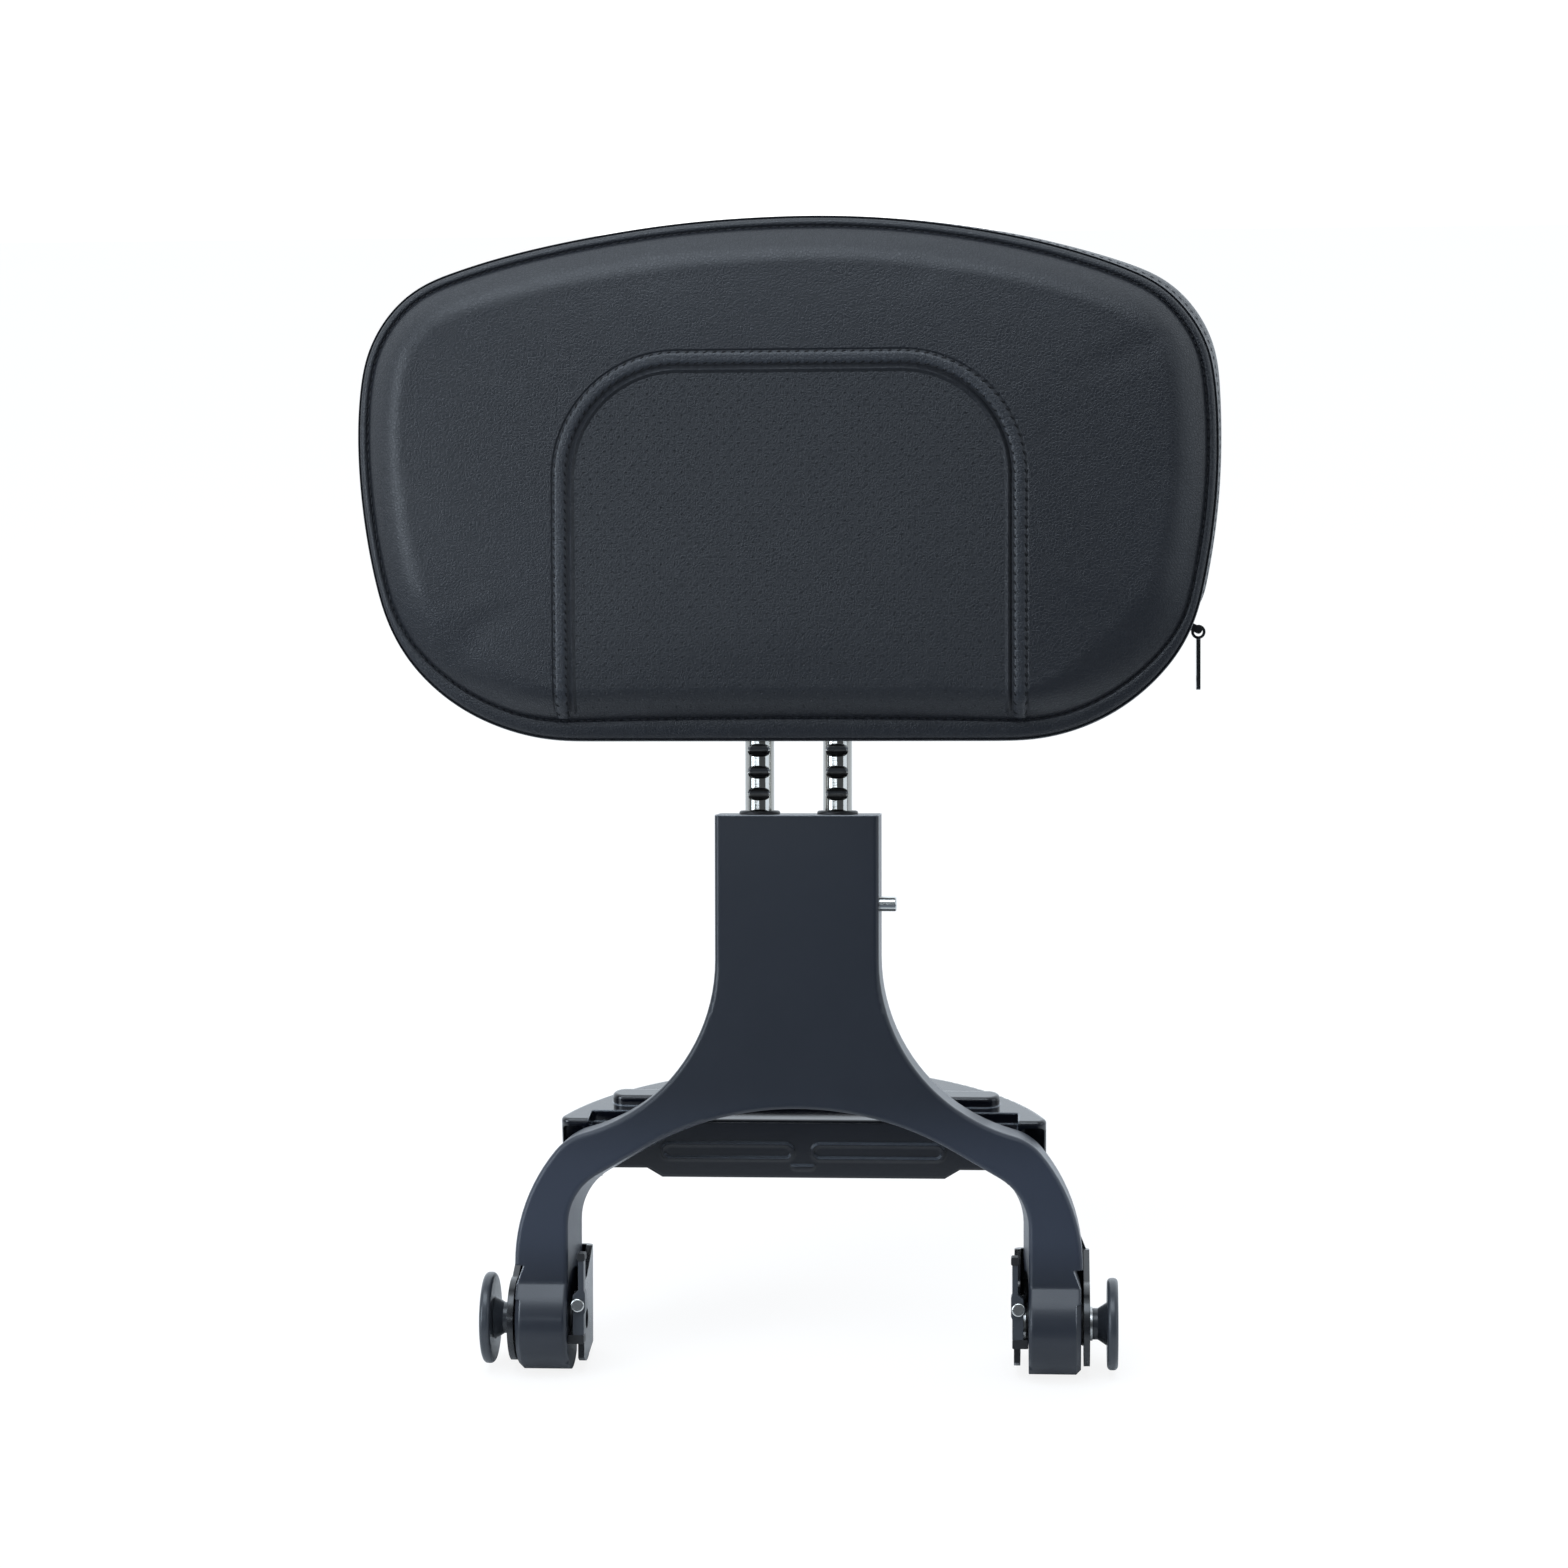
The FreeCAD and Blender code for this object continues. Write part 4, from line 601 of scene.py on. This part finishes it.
def cushion_rings():
    """The cushion's cross-section, from the face's middle out and round to the back's
    middle. Each ring has its distance from the front seam, in millimetres."""
    # Inset, reach to the front, and share of the seam's shift at the underside
    outer = [(0.0, 0.0, 0.0), (0.05, 1.6, 0.0), (0.2, 2.9, 0.0), (0.45, 3.3, 0.0), (0.68, 2.6, 0.0),
             (rim_seam_inset, 2.4, 0.0), (0.96, 2.6, 0.0), (1.2, 3.8, 0.1), (1.9, 4.8, 0.4), (2.9, 5.3, 0.8),
             (3.8, 5.2, 1.0), (4.3, 4.7, 1.0), (seam_inset, 4.3, 1.0), (4.9, 4.7, 1.0), (5.3, 5.3, 1.0)]
    front = [(ring_at(inset + seam_shift * share + rim_setback, seam_y - depth), inset - seam_inset)
             for inset, depth, share in outer]
    last_inset, last_depth, _ = outer[-1]
    for step in (0.04, 0.1, 0.18, 0.27, 0.36, 0.46, 0.56, 0.67, 0.78, 0.9, 1.0, 1.12):
        rise = bevel_rise * (1 - max(0.0, 1 - step) ** 1.9)
        inset = last_inset + seam_shift + rim_setback + step * bevel
        front.append((ring_at(inset, seam_y - last_depth - 0.6 - rise), last_inset - seam_inset + step * bevel_width))
    face = front[-1][0]
    for share in np.linspace(0.95, 0.5, 9):
        y = seam_y - last_depth - 0.6 - bevel_rise - face_crown * (1 - share ** 2)
        front.append((ring_towards_middle(face, share, y), 40.0))
    side = []
    depth = band_back_y - seam_y
    for y in (0.8, 1.6, 3.0, 6.0, 10.0, 14.0, 18.0, 22.0, 26.0, 30.0, 34.0, 38.0, 41.0, depth - 1.2, depth - 0.5):
        swell = band_swell * (1 - below_band) * smooth_step(y, 0, 10) * (1 - smooth_step(y, 16, depth))
        sunk = gusset_step * below_band if 1.2 < y < depth - 0.8 else 0.0
        shoulder = rim_setback * (1 - smooth_step(y, 0, 10))
        side.append((ring_at(shoulder + sunk - swell, seam_y + y), -seam_inset - y))
    back = []
    for inset, y in ((0.6, 0.1), (0.0, 0.7), (0.0, 2.0), (0.7, 3.4), (2.2, 4.2), (4.5, 4.5), (7.6, 4.6), (8.2, 4.1),
                     (8.8, 4.6), (14.0, 4.9), (22.0, 5.1), (30.0, back_depth)):
        back.append((ring_at(inset, band_back_y + y), -seam_inset - depth - y - inset))
    flat = back[-1][0]
    for share in np.linspace(0.94, 0.5, 8):
        back.append((ring_towards_middle(flat, share, back_at(share)), -100.0))
    return front[::-1] + side + back


def place_selected(form, points):
    """Moves the selected ring of vertices to its points."""
    shape = bmesh.from_edit_mesh(form.data)
    chosen = [vertex for vertex in shape.verts if vertex.select]
    for vertex, point in zip(chosen, points):
        vertex.co = Vector(point) * MM
    bmesh.update_edit_mesh(form.data)


def close_end(form, ring, crown):
    """Fills the selected ring with an even grid that follows the crown."""
    before = len(bmesh.from_edit_mesh(form.data).verts)
    bpy.ops.mesh.fill_grid(span=grid_span, offset=grid_span // 2)
    shape = bmesh.from_edit_mesh(form.data)
    angles = np.arctan2(ring[:, 2] - pad_middle.y, ring[:, 0])
    order = np.argsort(angles)
    reaches = np.hypot(ring[:, 2] - pad_middle.y, ring[:, 0])
    for vertex in list(shape.verts)[before:]:
        x = vertex.co.x / MM
        z = vertex.co.z / MM - pad_middle.y
        full = np.interp(math.atan2(z, x), angles[order], reaches[order], period=math.tau)
        share = 0.5 * math.hypot(x, z) / full
        vertex.co.y = crown(share) * MM
    bmesh.update_edit_mesh(form.data)


def in_fixed_order(form):
    """Rebuilds the mesh with its faces in the order of their corners. Blender's own order
    differs from run to run, and the cloth run would differ with it."""
    faces = sorted(tuple(face.vertices) for face in form.data.polygons)
    mesh = bpy.data.meshes.new("cushion")
    mesh.from_pydata([vertex.co.copy() for vertex in form.data.vertices], [], faces)
    # The leather reads the first map. It is empty, so the sewing marks' painted shade darkens all of it evenly.
    mesh.uv_layers.new(name="UVMap", do_init=False)
    form.data = mesh


def map_sewing(form, rings):
    """UV in millimetres: along the outline, and from the front seam inwards."""
    layer = form.data.uv_layers.new(name="sewing")
    sewn = len(rings) * stations
    for face in form.data.polygons:
        columns = [index % stations if index < sewn else 0 for index in face.vertices]
        wrapped = max(columns) - min(columns) > stations / 2
        for loop, index, column in zip(face.loop_indices, face.vertices, columns):
            if wrapped and column < stations / 2:
                column += stations
            across = rings[index // stations][1] if index < sewn else 60.0
            layer.data[loop].uv = (column * outline_length / stations, across)


def cushion_shell():
    """Extrudes a ring of the outline through the whole cross-section and closes both ends."""
    rings = cushion_rings()
    deselect()
    bpy.ops.mesh.primitive_circle_add(vertices=stations, radius=0.1)
    form = bpy.context.object
    form.name = "cushion"
    bpy.ops.object.mode_set(mode="EDIT")
    bpy.ops.mesh.select_all(action="SELECT")
    place_selected(form, rings[0][0])
    for ring, _ in rings[1:]:
        bpy.ops.mesh.extrude_region_move()
        place_selected(form, ring)
    close_end(form, rings[-1][0], back_at)
    bpy.ops.mesh.select_all(action="DESELECT")
    shape = bmesh.from_edit_mesh(form.data)
    for vertex in list(shape.verts)[:stations]:
        vertex.select = True
    for edge in shape.edges:
        edge.select = edge.verts[0].select and edge.verts[1].select
    bmesh.update_edit_mesh(form.data)
    middle_y = rings[0][0][0][1] - face_crown * 0.25
    close_end(form, rings[0][0], lambda share: middle_y + face_crown * share ** 2)
    bpy.ops.mesh.select_all(action="SELECT")
    bpy.ops.mesh.normals_make_consistent(inside=False)
    bpy.ops.object.mode_set(mode="OBJECT")
    in_fixed_order(form)
    map_sewing(form, rings)
    return form, np.array([ring[1] for ring in rings])


def puff(form, ring_across):
    """Lets the cover swell a little over its foam between the sewn seams."""
    seams = form.vertex_groups.new(name="seams")
    back = -seam_inset - (band_back_y - seam_y)
    across = np.repeat(ring_across, stations)
    sewn = ((across > -7.5) & (across < 1.0)) | ((across < back + 2) & (across > back - 8))
    seams.add([int(index) for index in np.flatnonzero(sewn)], 1.0, "REPLACE")
    start = np.zeros(len(form.data.vertices) * 3)
    form.data.vertices.foreach_get("co", start)
    cloth = form.modifiers.new("cover", "CLOTH")
    settings = cloth.settings
    settings.quality = 4
    settings.mass = 0.4
    settings.tension_stiffness = 30
    settings.compression_stiffness = 30
    settings.shear_stiffness = 15
    settings.bending_stiffness = 8.0
    settings.use_pressure = True
    settings.uniform_pressure_force = 4.0
    settings.effector_weights.gravity = 0.0
    settings.vertex_group_mass = "seams"
    cloth.collision_settings.use_collision = False
    for moment in range(1, cloth_frames + 1):
        bpy.context.scene.frame_set(moment)
    select_only(form)
    bpy.ops.object.modifier_apply(modifier="cover")
    bpy.context.scene.frame_set(1)
    end = np.zeros_like(start)
    form.data.vertices.foreach_get("co", end)
    moved = (end - start).reshape(-1, 3)
    largest = np.sqrt((moved ** 2).sum(1)).max()
    print("cover swell", round(float(largest / MM), 2), "mm before the cap")
    moved *= min(1.0, cover_swell * MM / max(largest, 1e-9))
    form.data.vertices.foreach_set("co", start + moved.ravel())
    form.data.update()


def apply_all(form):
    select_only(form)
    for modifier in list(form.modifiers):
        bpy.ops.object.modifier_apply(modifier=modifier.name)


def smooth_shaded(form, degrees):
    select_only(form)
    bpy.ops.object.shade_smooth_by_angle(angle=math.radians(degrees))


def build_cushion():
    form, ring_across = cushion_shell()
    puff(form, ring_across)
    finer = form.modifiers.new("finer", "SUBSURF")
    finer.levels = 1
    finer.render_levels = 1
    apply_all(form)
    smooth_shaded(form, 180)
    return form


# Sewing

def surface_of(form):
    shape = bmesh.new()
    shape.from_mesh(form.data)
    tree = BVHTree.FromBMesh(shape)
    shape.free()
    return tree


def on_face(tree, x, z):
    """The point and normal of the cushion's face at (x, z), in millimetres."""
    point, normal, _, _ = tree.ray_cast(Vector((x * MM, -0.2, z * MM)), Vector((0, 1, 0)))
    return point / MM, normal


def on_side(tree, flat, away, y):
    """The point and normal of the cushion's side at one outline station and depth."""
    start = Vector((flat[0] - away[0] * 30, y, flat[1] - away[1] * 30)) * MM
    point, normal, _, _ = tree.ray_cast(start, Vector((away[0], 0, away[1])))
    return point / MM, normal


def even(points, pitch):
    """Points spaced evenly along a line, and the direction at each."""
    line = np.array(points, float)
    gone = np.concatenate([[0.0], np.cumsum(np.sqrt((np.diff(line, axis=0) ** 2).sum(1)))])
    count = max(2, int(round(gone[-1] / pitch)))
    marks = (np.arange(count) + 0.5) * gone[-1] / count

    def at(places):
        held = np.clip(places, 0, gone[-1])
        return np.column_stack([np.interp(held, gone, line[:, axis]) for axis in range(line.shape[1])])
    along = at(marks + 0.4) - at(marks - 0.4)
    along /= np.sqrt((along ** 2).sum(1))[:, None]
    return at(marks), along


def taken_apart(form):
    """Corners and faces of a form that is no longer needed itself."""
    corners = np.array([tuple(vertex.co) for vertex in form.data.vertices])
    faces = [tuple(face.vertices) for face in form.data.polygons]
    bpy.data.objects.remove(form)
    return corners, faces


def one_stitch():
    """A single stitch along X: a thread arched up from the leather, with both ends sunk."""
    deselect()
    bpy.ops.mesh.primitive_cylinder_add(vertices=6, radius=1.0, depth=2.0, rotation=(0, math.pi / 2, 0))
    stitch = bpy.context.object
    bpy.ops.object.transform_apply(location=True, rotation=True, scale=True)
    bpy.ops.object.mode_set(mode="EDIT")
    for at in (-0.5, 0.0, 0.5):
        bpy.ops.mesh.select_all(action="SELECT")
        bpy.ops.mesh.bisect(plane_co=(at, 0, 0), plane_no=(1, 0, 0))
    bpy.ops.object.mode_set(mode="OBJECT")
    for vertex in stitch.data.vertices:
        share = abs(vertex.co.x)
        vertex.co.y *= 1 - 0.45 * share ** 3
        vertex.co.z = vertex.co.z * (1 - 0.45 * share ** 3) - 1.1 * share ** 2
    return taken_apart(stitch)


def copies(name, corners, faces, frames):
    """One mesh of many copies; each frame gives a place and three scaled directions."""
    points = []
    loops = []
    for at, (along, over, up) in frames:
        first = len(points)
        for corner in corners:
            point = Vector(at) + along * corner[0] + over * corner[1] + up * corner[2]
            points.append(point * MM)
        loops += [tuple(first + index for index in face) for face in faces]
    mesh = bpy.data.meshes.new(name)
    mesh.from_pydata(points, [], loops)
    made = bpy.data.objects.new(name, mesh)
    bpy.context.collection.objects.link(made)
    return made


def stitches(name, spots, length, radius, slant, finish):
    """A row of stitches; each spot is a point, the row's direction and the surface normal."""
    corners, faces = one_stitch()
    frames = []
    for at, along, normal in spots:
        normal = Vector(normal).normalized()
        over = normal.cross(Vector(along)).normalized()
        along = over.cross(normal).normalized()
        turned = Matrix.Rotation(math.radians(slant), 3, normal)
        along = turned @ along
        over = turned @ over
        frames.append((at, (along * length / 2, over * radius, normal * radius)))
    row = copies(name, corners, faces, frames)
    row.data.materials.append(finish)
    smooth_shaded(row, 60)
    return row


def by_station(line):
    """One spot for each stitch round the cushion, and the direction at each."""
    marks = (np.arange(stitch_count) + 0.5) * stations / stitch_count
    knots = np.arange(stations)

    def at(places):
        return np.column_stack([np.interp(places, knots, line[:, axis], period=stations)
                                for axis in range(line.shape[1])])
    along = at(marks + 0.4) - at(marks - 0.4)
    return at(marks), along / np.hypot(along[:, 0], along[:, 1])[:, None]


def face_row(tree, spots, along):
    """Spots on the cushion's face at a line of (x, z) points."""
    row = []
    for (x, z), (dx, dz) in zip(spots, along):
        point, normal = on_face(tree, x, z)
        row.append((point, (dx, 0.0, dz), normal))
    return row


def side_row(tree, y):
    """Spots round the cushion's side at one depth."""
    spots, along = by_station(np.hstack([rim, inward]))
    row = []
    for spot, direction in zip(spots, along):
        point, normal = on_side(tree, spot[:2], spot[2:], y)
        row.append((point, (direction[0], 0.0, direction[1]), normal))
    return row


def arch_line(inset, step):
    """The insert's outline pulled in by an inset: up the left, over the top, down the right."""
    half = insert_half_width - inset
    radius = insert_corner - inset
    top = pad_bottom + insert_top - inset
    foot = pad_bottom + seam_inset + 4.0
    points = [(-half, foot)]
    quarter = max(4, int(radius * math.pi / 2 / step))
    for turn in np.linspace(0, math.pi / 2, quarter):
        points.append((-half + radius - radius * math.cos(turn), top - radius + radius * math.sin(turn)))
    for turn in np.linspace(0, math.pi / 2, quarter):
        points.append((half - radius + radius * math.sin(turn), top - radius + radius * math.cos(turn)))
    points.append((half, foot))
    return points


def thin_sheet(name, rows, thickness, finish, degrees):
    """A sheet through rows of points, which are in millimetres like its thickness."""
    deselect()
    width = len(rows[0])
    bpy.ops.mesh.primitive_grid_add(x_subdivisions=width - 1, y_subdivisions=len(rows) - 1)
    sheet = bpy.context.object
    sheet.name = name
    for index, vertex in enumerate(sheet.data.vertices):
        vertex.co = rows[index // width][index % width] * MM
    bpy.ops.object.mode_set(mode="EDIT")
    bpy.ops.mesh.select_all(action="SELECT")
    bpy.ops.mesh.normals_make_consistent(inside=False)
    bpy.ops.object.mode_set(mode="OBJECT")
    wall = sheet.modifiers.new("wall", "SOLIDIFY")
    wall.thickness = thickness * MM
    wall.offset = -1
    apply_all(sheet)
    sheet.data.materials.append(finish)
    smooth_shaded(sheet, degrees)
    return sheet


def build_insert_band(tree, finish):
    """The raised band round the insert, pinched in by each stitch."""
    step = stitch_pitch / 4
    spots, along = even(arch_line(band_width / 2, step), step)
    profile = [(-1.0, -0.9), (-0.93, -0.1), (-0.8, 0.5), (-0.55, 0.95), (-0.2, 1.05), (0.2, 1.05), (0.55, 0.95),
               (0.8, 0.45), (0.93, -0.2), (1.0, -1.0)]
    rows = []
    for index, ((x, z), (dx, dz)) in enumerate(zip(spots, along)):
        pinch = 0.12 * math.cos(math.tau * index / 4)
        row = []
        for share, height in profile:
            at_x = x + dz * share * band_width / 2
            at_z = z - dx * share * band_width / 2
            point, normal = on_face(tree, at_x, at_z)
            lift = height * band_proud + pinch * abs(share) * (height > 0)
            row.append(point + normal * lift)
        rows.append(row)
    return thin_sheet("insert_band", rows, 0.8, finish, 50)


# Zipper

def lower_run(pitch):
    """Even stations along the gusset, from one end of the zipper to the other."""
    order = [index % stations for index in range(-stations // 2, stations // 2)]
    line = np.hstack([rim, inward])[order]
    line = line[line[:, 1] < gusset_top - 3.0]
    return even(line, pitch)


def build_zipper_teeth(finish):
    """Two rows of interlocking teeth, standing on the gusset."""
    deselect()
    bpy.ops.mesh.primitive_cube_add(size=1.0)
    tooth = bpy.context.object
    bpy.ops.object.mode_set(mode="EDIT")
    bpy.ops.mesh.select_all(action="SELECT")
    bpy.ops.mesh.bevel(offset=0.22, segments=1)
    bpy.ops.object.mode_set(mode="OBJECT")
    corners, faces = taken_apart(tooth)
    frames = []
    spots, along = lower_run(tooth_pitch / 2)
    for index, (spot, direction) in enumerate(zip(spots, along)):
        side = 1 if index % 2 else -1
        flat = Vector((spot[0], spot[1])) + Vector((spot[2], spot[3])) * (gusset_step - 0.6)
        at = (flat.x, zipper_y + side * tooth_stagger, flat.y)
        run = Vector((direction[0], 0, direction[1])).normalized()
        out = Vector((-spot[2], 0, -spot[3])).normalized()
        frames.append((at, (run * tooth_run, Vector((0, tooth_length, 0)), out * tooth_height)))
    teeth = copies("zipper_teeth", corners, faces, frames)
    teeth.data.materials.append(finish)
    return teeth


def build_zipper_tape(finish):
    """The woven tape under the teeth, sewn to the gusset on both sides."""
    profile = [(-9.0, -0.4), (-8.8, 0.25), (-8.0, 0.35), (-2.6, 0.35), (-2.2, 0.6), (2.2, 0.6), (2.6, 0.35),
               (8.0, 0.35), (8.8, 0.25), (9.0, -0.4)]
    rows = []
    for x, z, inward_x, inward_z in lower_run(3.0)[0]:
        row = []
        for shift, height in profile:
            flat = Vector((x, z)) + Vector((inward_x, inward_z)) * (gusset_step - 0.3 - height)
            row.append(Vector((flat.x, zipper_y + shift, flat.y)))
        rows.append(row)
    return thin_sheet("zipper_tape", rows, 0.5, finish, 40)


def build_post_hems(finish):
    """Turned hems where the posts enter the underside."""
    hems = []
    for name, side in (("left", -1), ("right", 1)):
        deselect()
        bpy.ops.mesh.primitive_torus_add(major_segments=48, minor_segments=12, major_radius=(post_radius + 1.6) * MM,
                                         minor_radius=1.1 * MM, location=(side * post_x * MM, 0, pad_bottom * MM))
        hem = bpy.context.object
        hem.name = "post_hem_" + name
        bpy.ops.object.transform_apply(location=True, rotation=True, scale=True)
        for vertex in hem.data.vertices:
            around = math.atan2(vertex.co.y, vertex.co.x - side * post_x * MM)
            vertex.co.z += (gusset_step - 0.4) * MM + 0.12 * MM * math.sin(9 * around)
        hem.data.materials.append(finish)
        smooth_shaded(hem, 180)
        hems.append(hem)
    return hems


def settle(piece, body, slot, *replaced):
    """Leans an upright piece into place, hands it to its body and hides the CAD nodes that it
    replaces. The slot argument is not used."""
    piece.data.transform(stand)
    piece.data.update()
    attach(piece, body)
    if replaced:
        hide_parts(*replaced)


def dress_cushion(finishes):
    cushion = build_cushion()
    cushion.data.materials.append(finishes["cover_leather"])
    tree = surface_of(cushion)
    band = build_insert_band(tree, finishes["insert_leather"])
    dark = finishes["thread_dark"]
    rows = []
    for name, inset, shift, thickness in (("seam_stitches", seam_inset, seam_shift, 0.45),
                                          ("rim_stitches", rim_seam_inset, 0.0, 0.3)):
        line = rim + inward * (inset + shift + rim_setback)[:, None]
        rows.append(stitches(name, face_row(tree, *by_station(line)), 2.9, thickness, 6, dark))
    # The side and back rows use the painted lighter copy of the thread.
    for name, y in (("side_stitches", seam_y + side_row_depth), ("back_stitches", band_back_y - 3.0)):
        rows.append(stitches(name, side_row(tree, y), 2.6, 0.2, 0, finishes["thread_painted_lit"]))
    band_tree = surface_of(band)
    for name, inset in (("outer", 0.5), ("inner", band_width - 0.75)):
        spots = []
        for at, along, _ in face_row(tree, *even(arch_line(inset, 1.0), stitch_pitch)):
            start = Vector((at.x, at.y - 20, at.z)) * MM
            point, normal, _, _ = band_tree.ray_cast(start, Vector((0, 1, 0)))
            if point:
                spots.append((point / MM, along, normal))
        rows.append(stitches("band_stitches_" + name, spots, 2.7, 0.4, 24, dark))
    settle(cushion, "pad", "cover_leather", "pad_foam", "front_cover", "centre_insert", "edge_roll", "upper_band",
           "zipper_gusset", "rear_cover")
    settle(band, "pad", "insert_leather", "insert_welt")
    for row in rows:
        settle(row, "pad", "cover_leather")
    settle(build_zipper_teeth(finishes["zipper_metal"]), "pad", "zipper_metal", "zipper_chain")
    settle(build_zipper_tape(finishes["zipper_tape"]), "pad", "zipper_tape")
    for hem in build_post_hems(finishes["insert_leather"]):
        settle(hem, "pad", "cover_leather")


# Studio

def set_camera():
    forward = Vector((-math.sin(view_azimuth) * math.cos(view_elevation),
                      math.cos(view_azimuth) * math.cos(view_elevation), -math.sin(view_elevation)))
    right = Vector((math.cos(view_azimuth), math.sin(view_azimuth), 0))
    up = right.cross(forward)
    across = right * math.cos(view_roll) + up * math.sin(view_roll)
    upwards = up * math.cos(view_roll) - right * math.sin(view_roll)
    lens = bpy.data.cameras.new("camera")
    lens.sensor_width = sensor_width
    lens.lens = sensor_width * focal_length / photo_width
    camera = bpy.data.objects.new("camera", lens)
    turn = Matrix((across, upwards, -forward)).transposed().to_4x4()
    camera.matrix_world = Matrix.Translation(view_target - forward * view_distance) @ turn
    bpy.context.collection.objects.link(camera)
    bpy.context.scene.camera = camera


def soft_lamp(name, place, aim, size, power, colour):
    light = bpy.data.lights.new(name, "AREA")
    light.shape = "RECTANGLE"
    light.size = size[0]
    light.size_y = size[1]
    light.energy = power
    light.color = colour
    lamp = bpy.data.objects.new(name, light)
    lamp.location = place
    lamp.rotation_euler = (Vector(aim) - Vector(place)).to_track_quat("-Z", "Y").to_euler()
    lamp.visible_camera = False
    bpy.context.collection.objects.link(lamp)


def white_studio():
    """A world that the camera sees white. It lights the part from behind and above, and
    is dim on the camera's side."""
    world = bpy.data.worlds.new("studio")
    bpy.context.scene.world = world
    world.use_nodes = True
    nodes = world.node_tree.nodes
    links = world.node_tree.links
    nodes.clear()

    def ramp(source, low, high, dim, bright):
        made = nodes.new("ShaderNodeMapRange")
        for key, value in (("From Min", low), ("From Max", high), ("To Min", dim), ("To Max", bright)):
            made.inputs[key].default_value = value
        links.new(source, made.inputs["Value"])
        return made.outputs[0]

    def larger(first, second):
        made = nodes.new("ShaderNodeMath")
        made.operation = "MAXIMUM"
        links.new(first, made.inputs[0])
        links.new(second, made.inputs[1])
        return made.outputs[0]

    direction = nodes.new("ShaderNodeTexCoord")
    parts = nodes.new("ShaderNodeSeparateXYZ")
    links.new(direction.outputs["Generated"], parts.inputs[0])
    behind = ramp(parts.outputs["Y"], -0.3, 0.5, 0.12, 1.6)
    above = ramp(parts.outputs["Z"], 0.45, 0.95, 0.12, 1.1)
    seen = nodes.new("ShaderNodeLightPath").outputs["Is Camera Ray"]
    light = nodes.new("ShaderNodeBackground")
    tint = nodes.new("ShaderNodeMix")
    tint.data_type = "RGBA"
    tint.inputs[6].default_value = (0.84, 0.92, 1.0, 1)
    tint.inputs[7].default_value = (1, 1, 1, 1)
    links.new(seen, tint.inputs[0])
    links.new(tint.outputs[2], light.inputs["Color"])
    links.new(larger(seen, larger(behind, above)), light.inputs["Strength"])
    output = nodes.new("ShaderNodeOutputWorld")
    links.new(light.outputs[0], output.inputs["Surface"])


def lay_floor():
    """A floor that looks white to the camera and keeps a faint shadow. What the part
    reflects of it is pale close by and behind, and dark in front."""
    deselect()
    lowest = cad_box[0][2]
    bpy.ops.mesh.primitive_plane_add(size=12.0, location=(0, 0, lowest))
    floor = bpy.context.object
    floor.name = "floor"
    bpy.ops.object.transform_apply(location=True, rotation=True, scale=True)
    shade = Shade("floor_white")
    place = shade.place()
    x, y, _ = shade.axes(place)
    far = (x * x + y * y).math("SQRT").fading(0.3, 0.9) * (1.0 - y.fading(0.1, 0.5))
    near = y.fading(-0.34, -0.12) * (1.0 - far)
    tone = shade.noise(place, 3.0, 2.0)
    pale = shade.mix(tone, (0.78, 0.78, 0.78, 1.0), (0.82, 0.82, 0.82, 1.0))
    seen = shade.mix(near, (0.14, 0.15, 0.17, 1.0), pale)
    matt = shade.node("ShaderNodeBsdfDiffuse", {}, {"Color": seen})
    glow = shade.node("ShaderNodeEmission", {}, {"Color": (1, 1, 1, 1), "Strength": 1.07})
    camera = shade.node("ShaderNodeLightPath", output="Is Camera Ray")
    factor = camera * (1.0 - near * 0.2)
    shade.output(shade.node("ShaderNodeMixShader", {}, {0: factor, 1: matt, 2: glow}))
    floor.data.materials.append(shade.material)


def light_studio():
    bpy.context.scene.view_settings.view_transform = "Standard"
    white_studio()
    lay_floor()
    blue = (0.79, 0.89, 1.0)
    soft_lamp("left_box", (-1.6, -1.25, 0.7), (0, 0, 0.3), (0.8, 1.4), 23.0, blue)
    soft_lamp("left_strip", (-0.7, -1.85, 0.6), (0, 0, 0.2), (1.3, 0.2), 2.4, blue)
    soft_lamp("top_box", (-0.3, -0.8, 1.9), (0, 0, 0.3), (1.6, 0.9), 19.0, blue)
    soft_lamp("right_box", (1.75, -0.75, 0.6), (0, 0, 0.2), (1.1, 1.2), 6.0, blue)


set_camera()
finishes = make_finishes()
dress_frame(finishes)
dress_cushion(finishes)
light_studio()
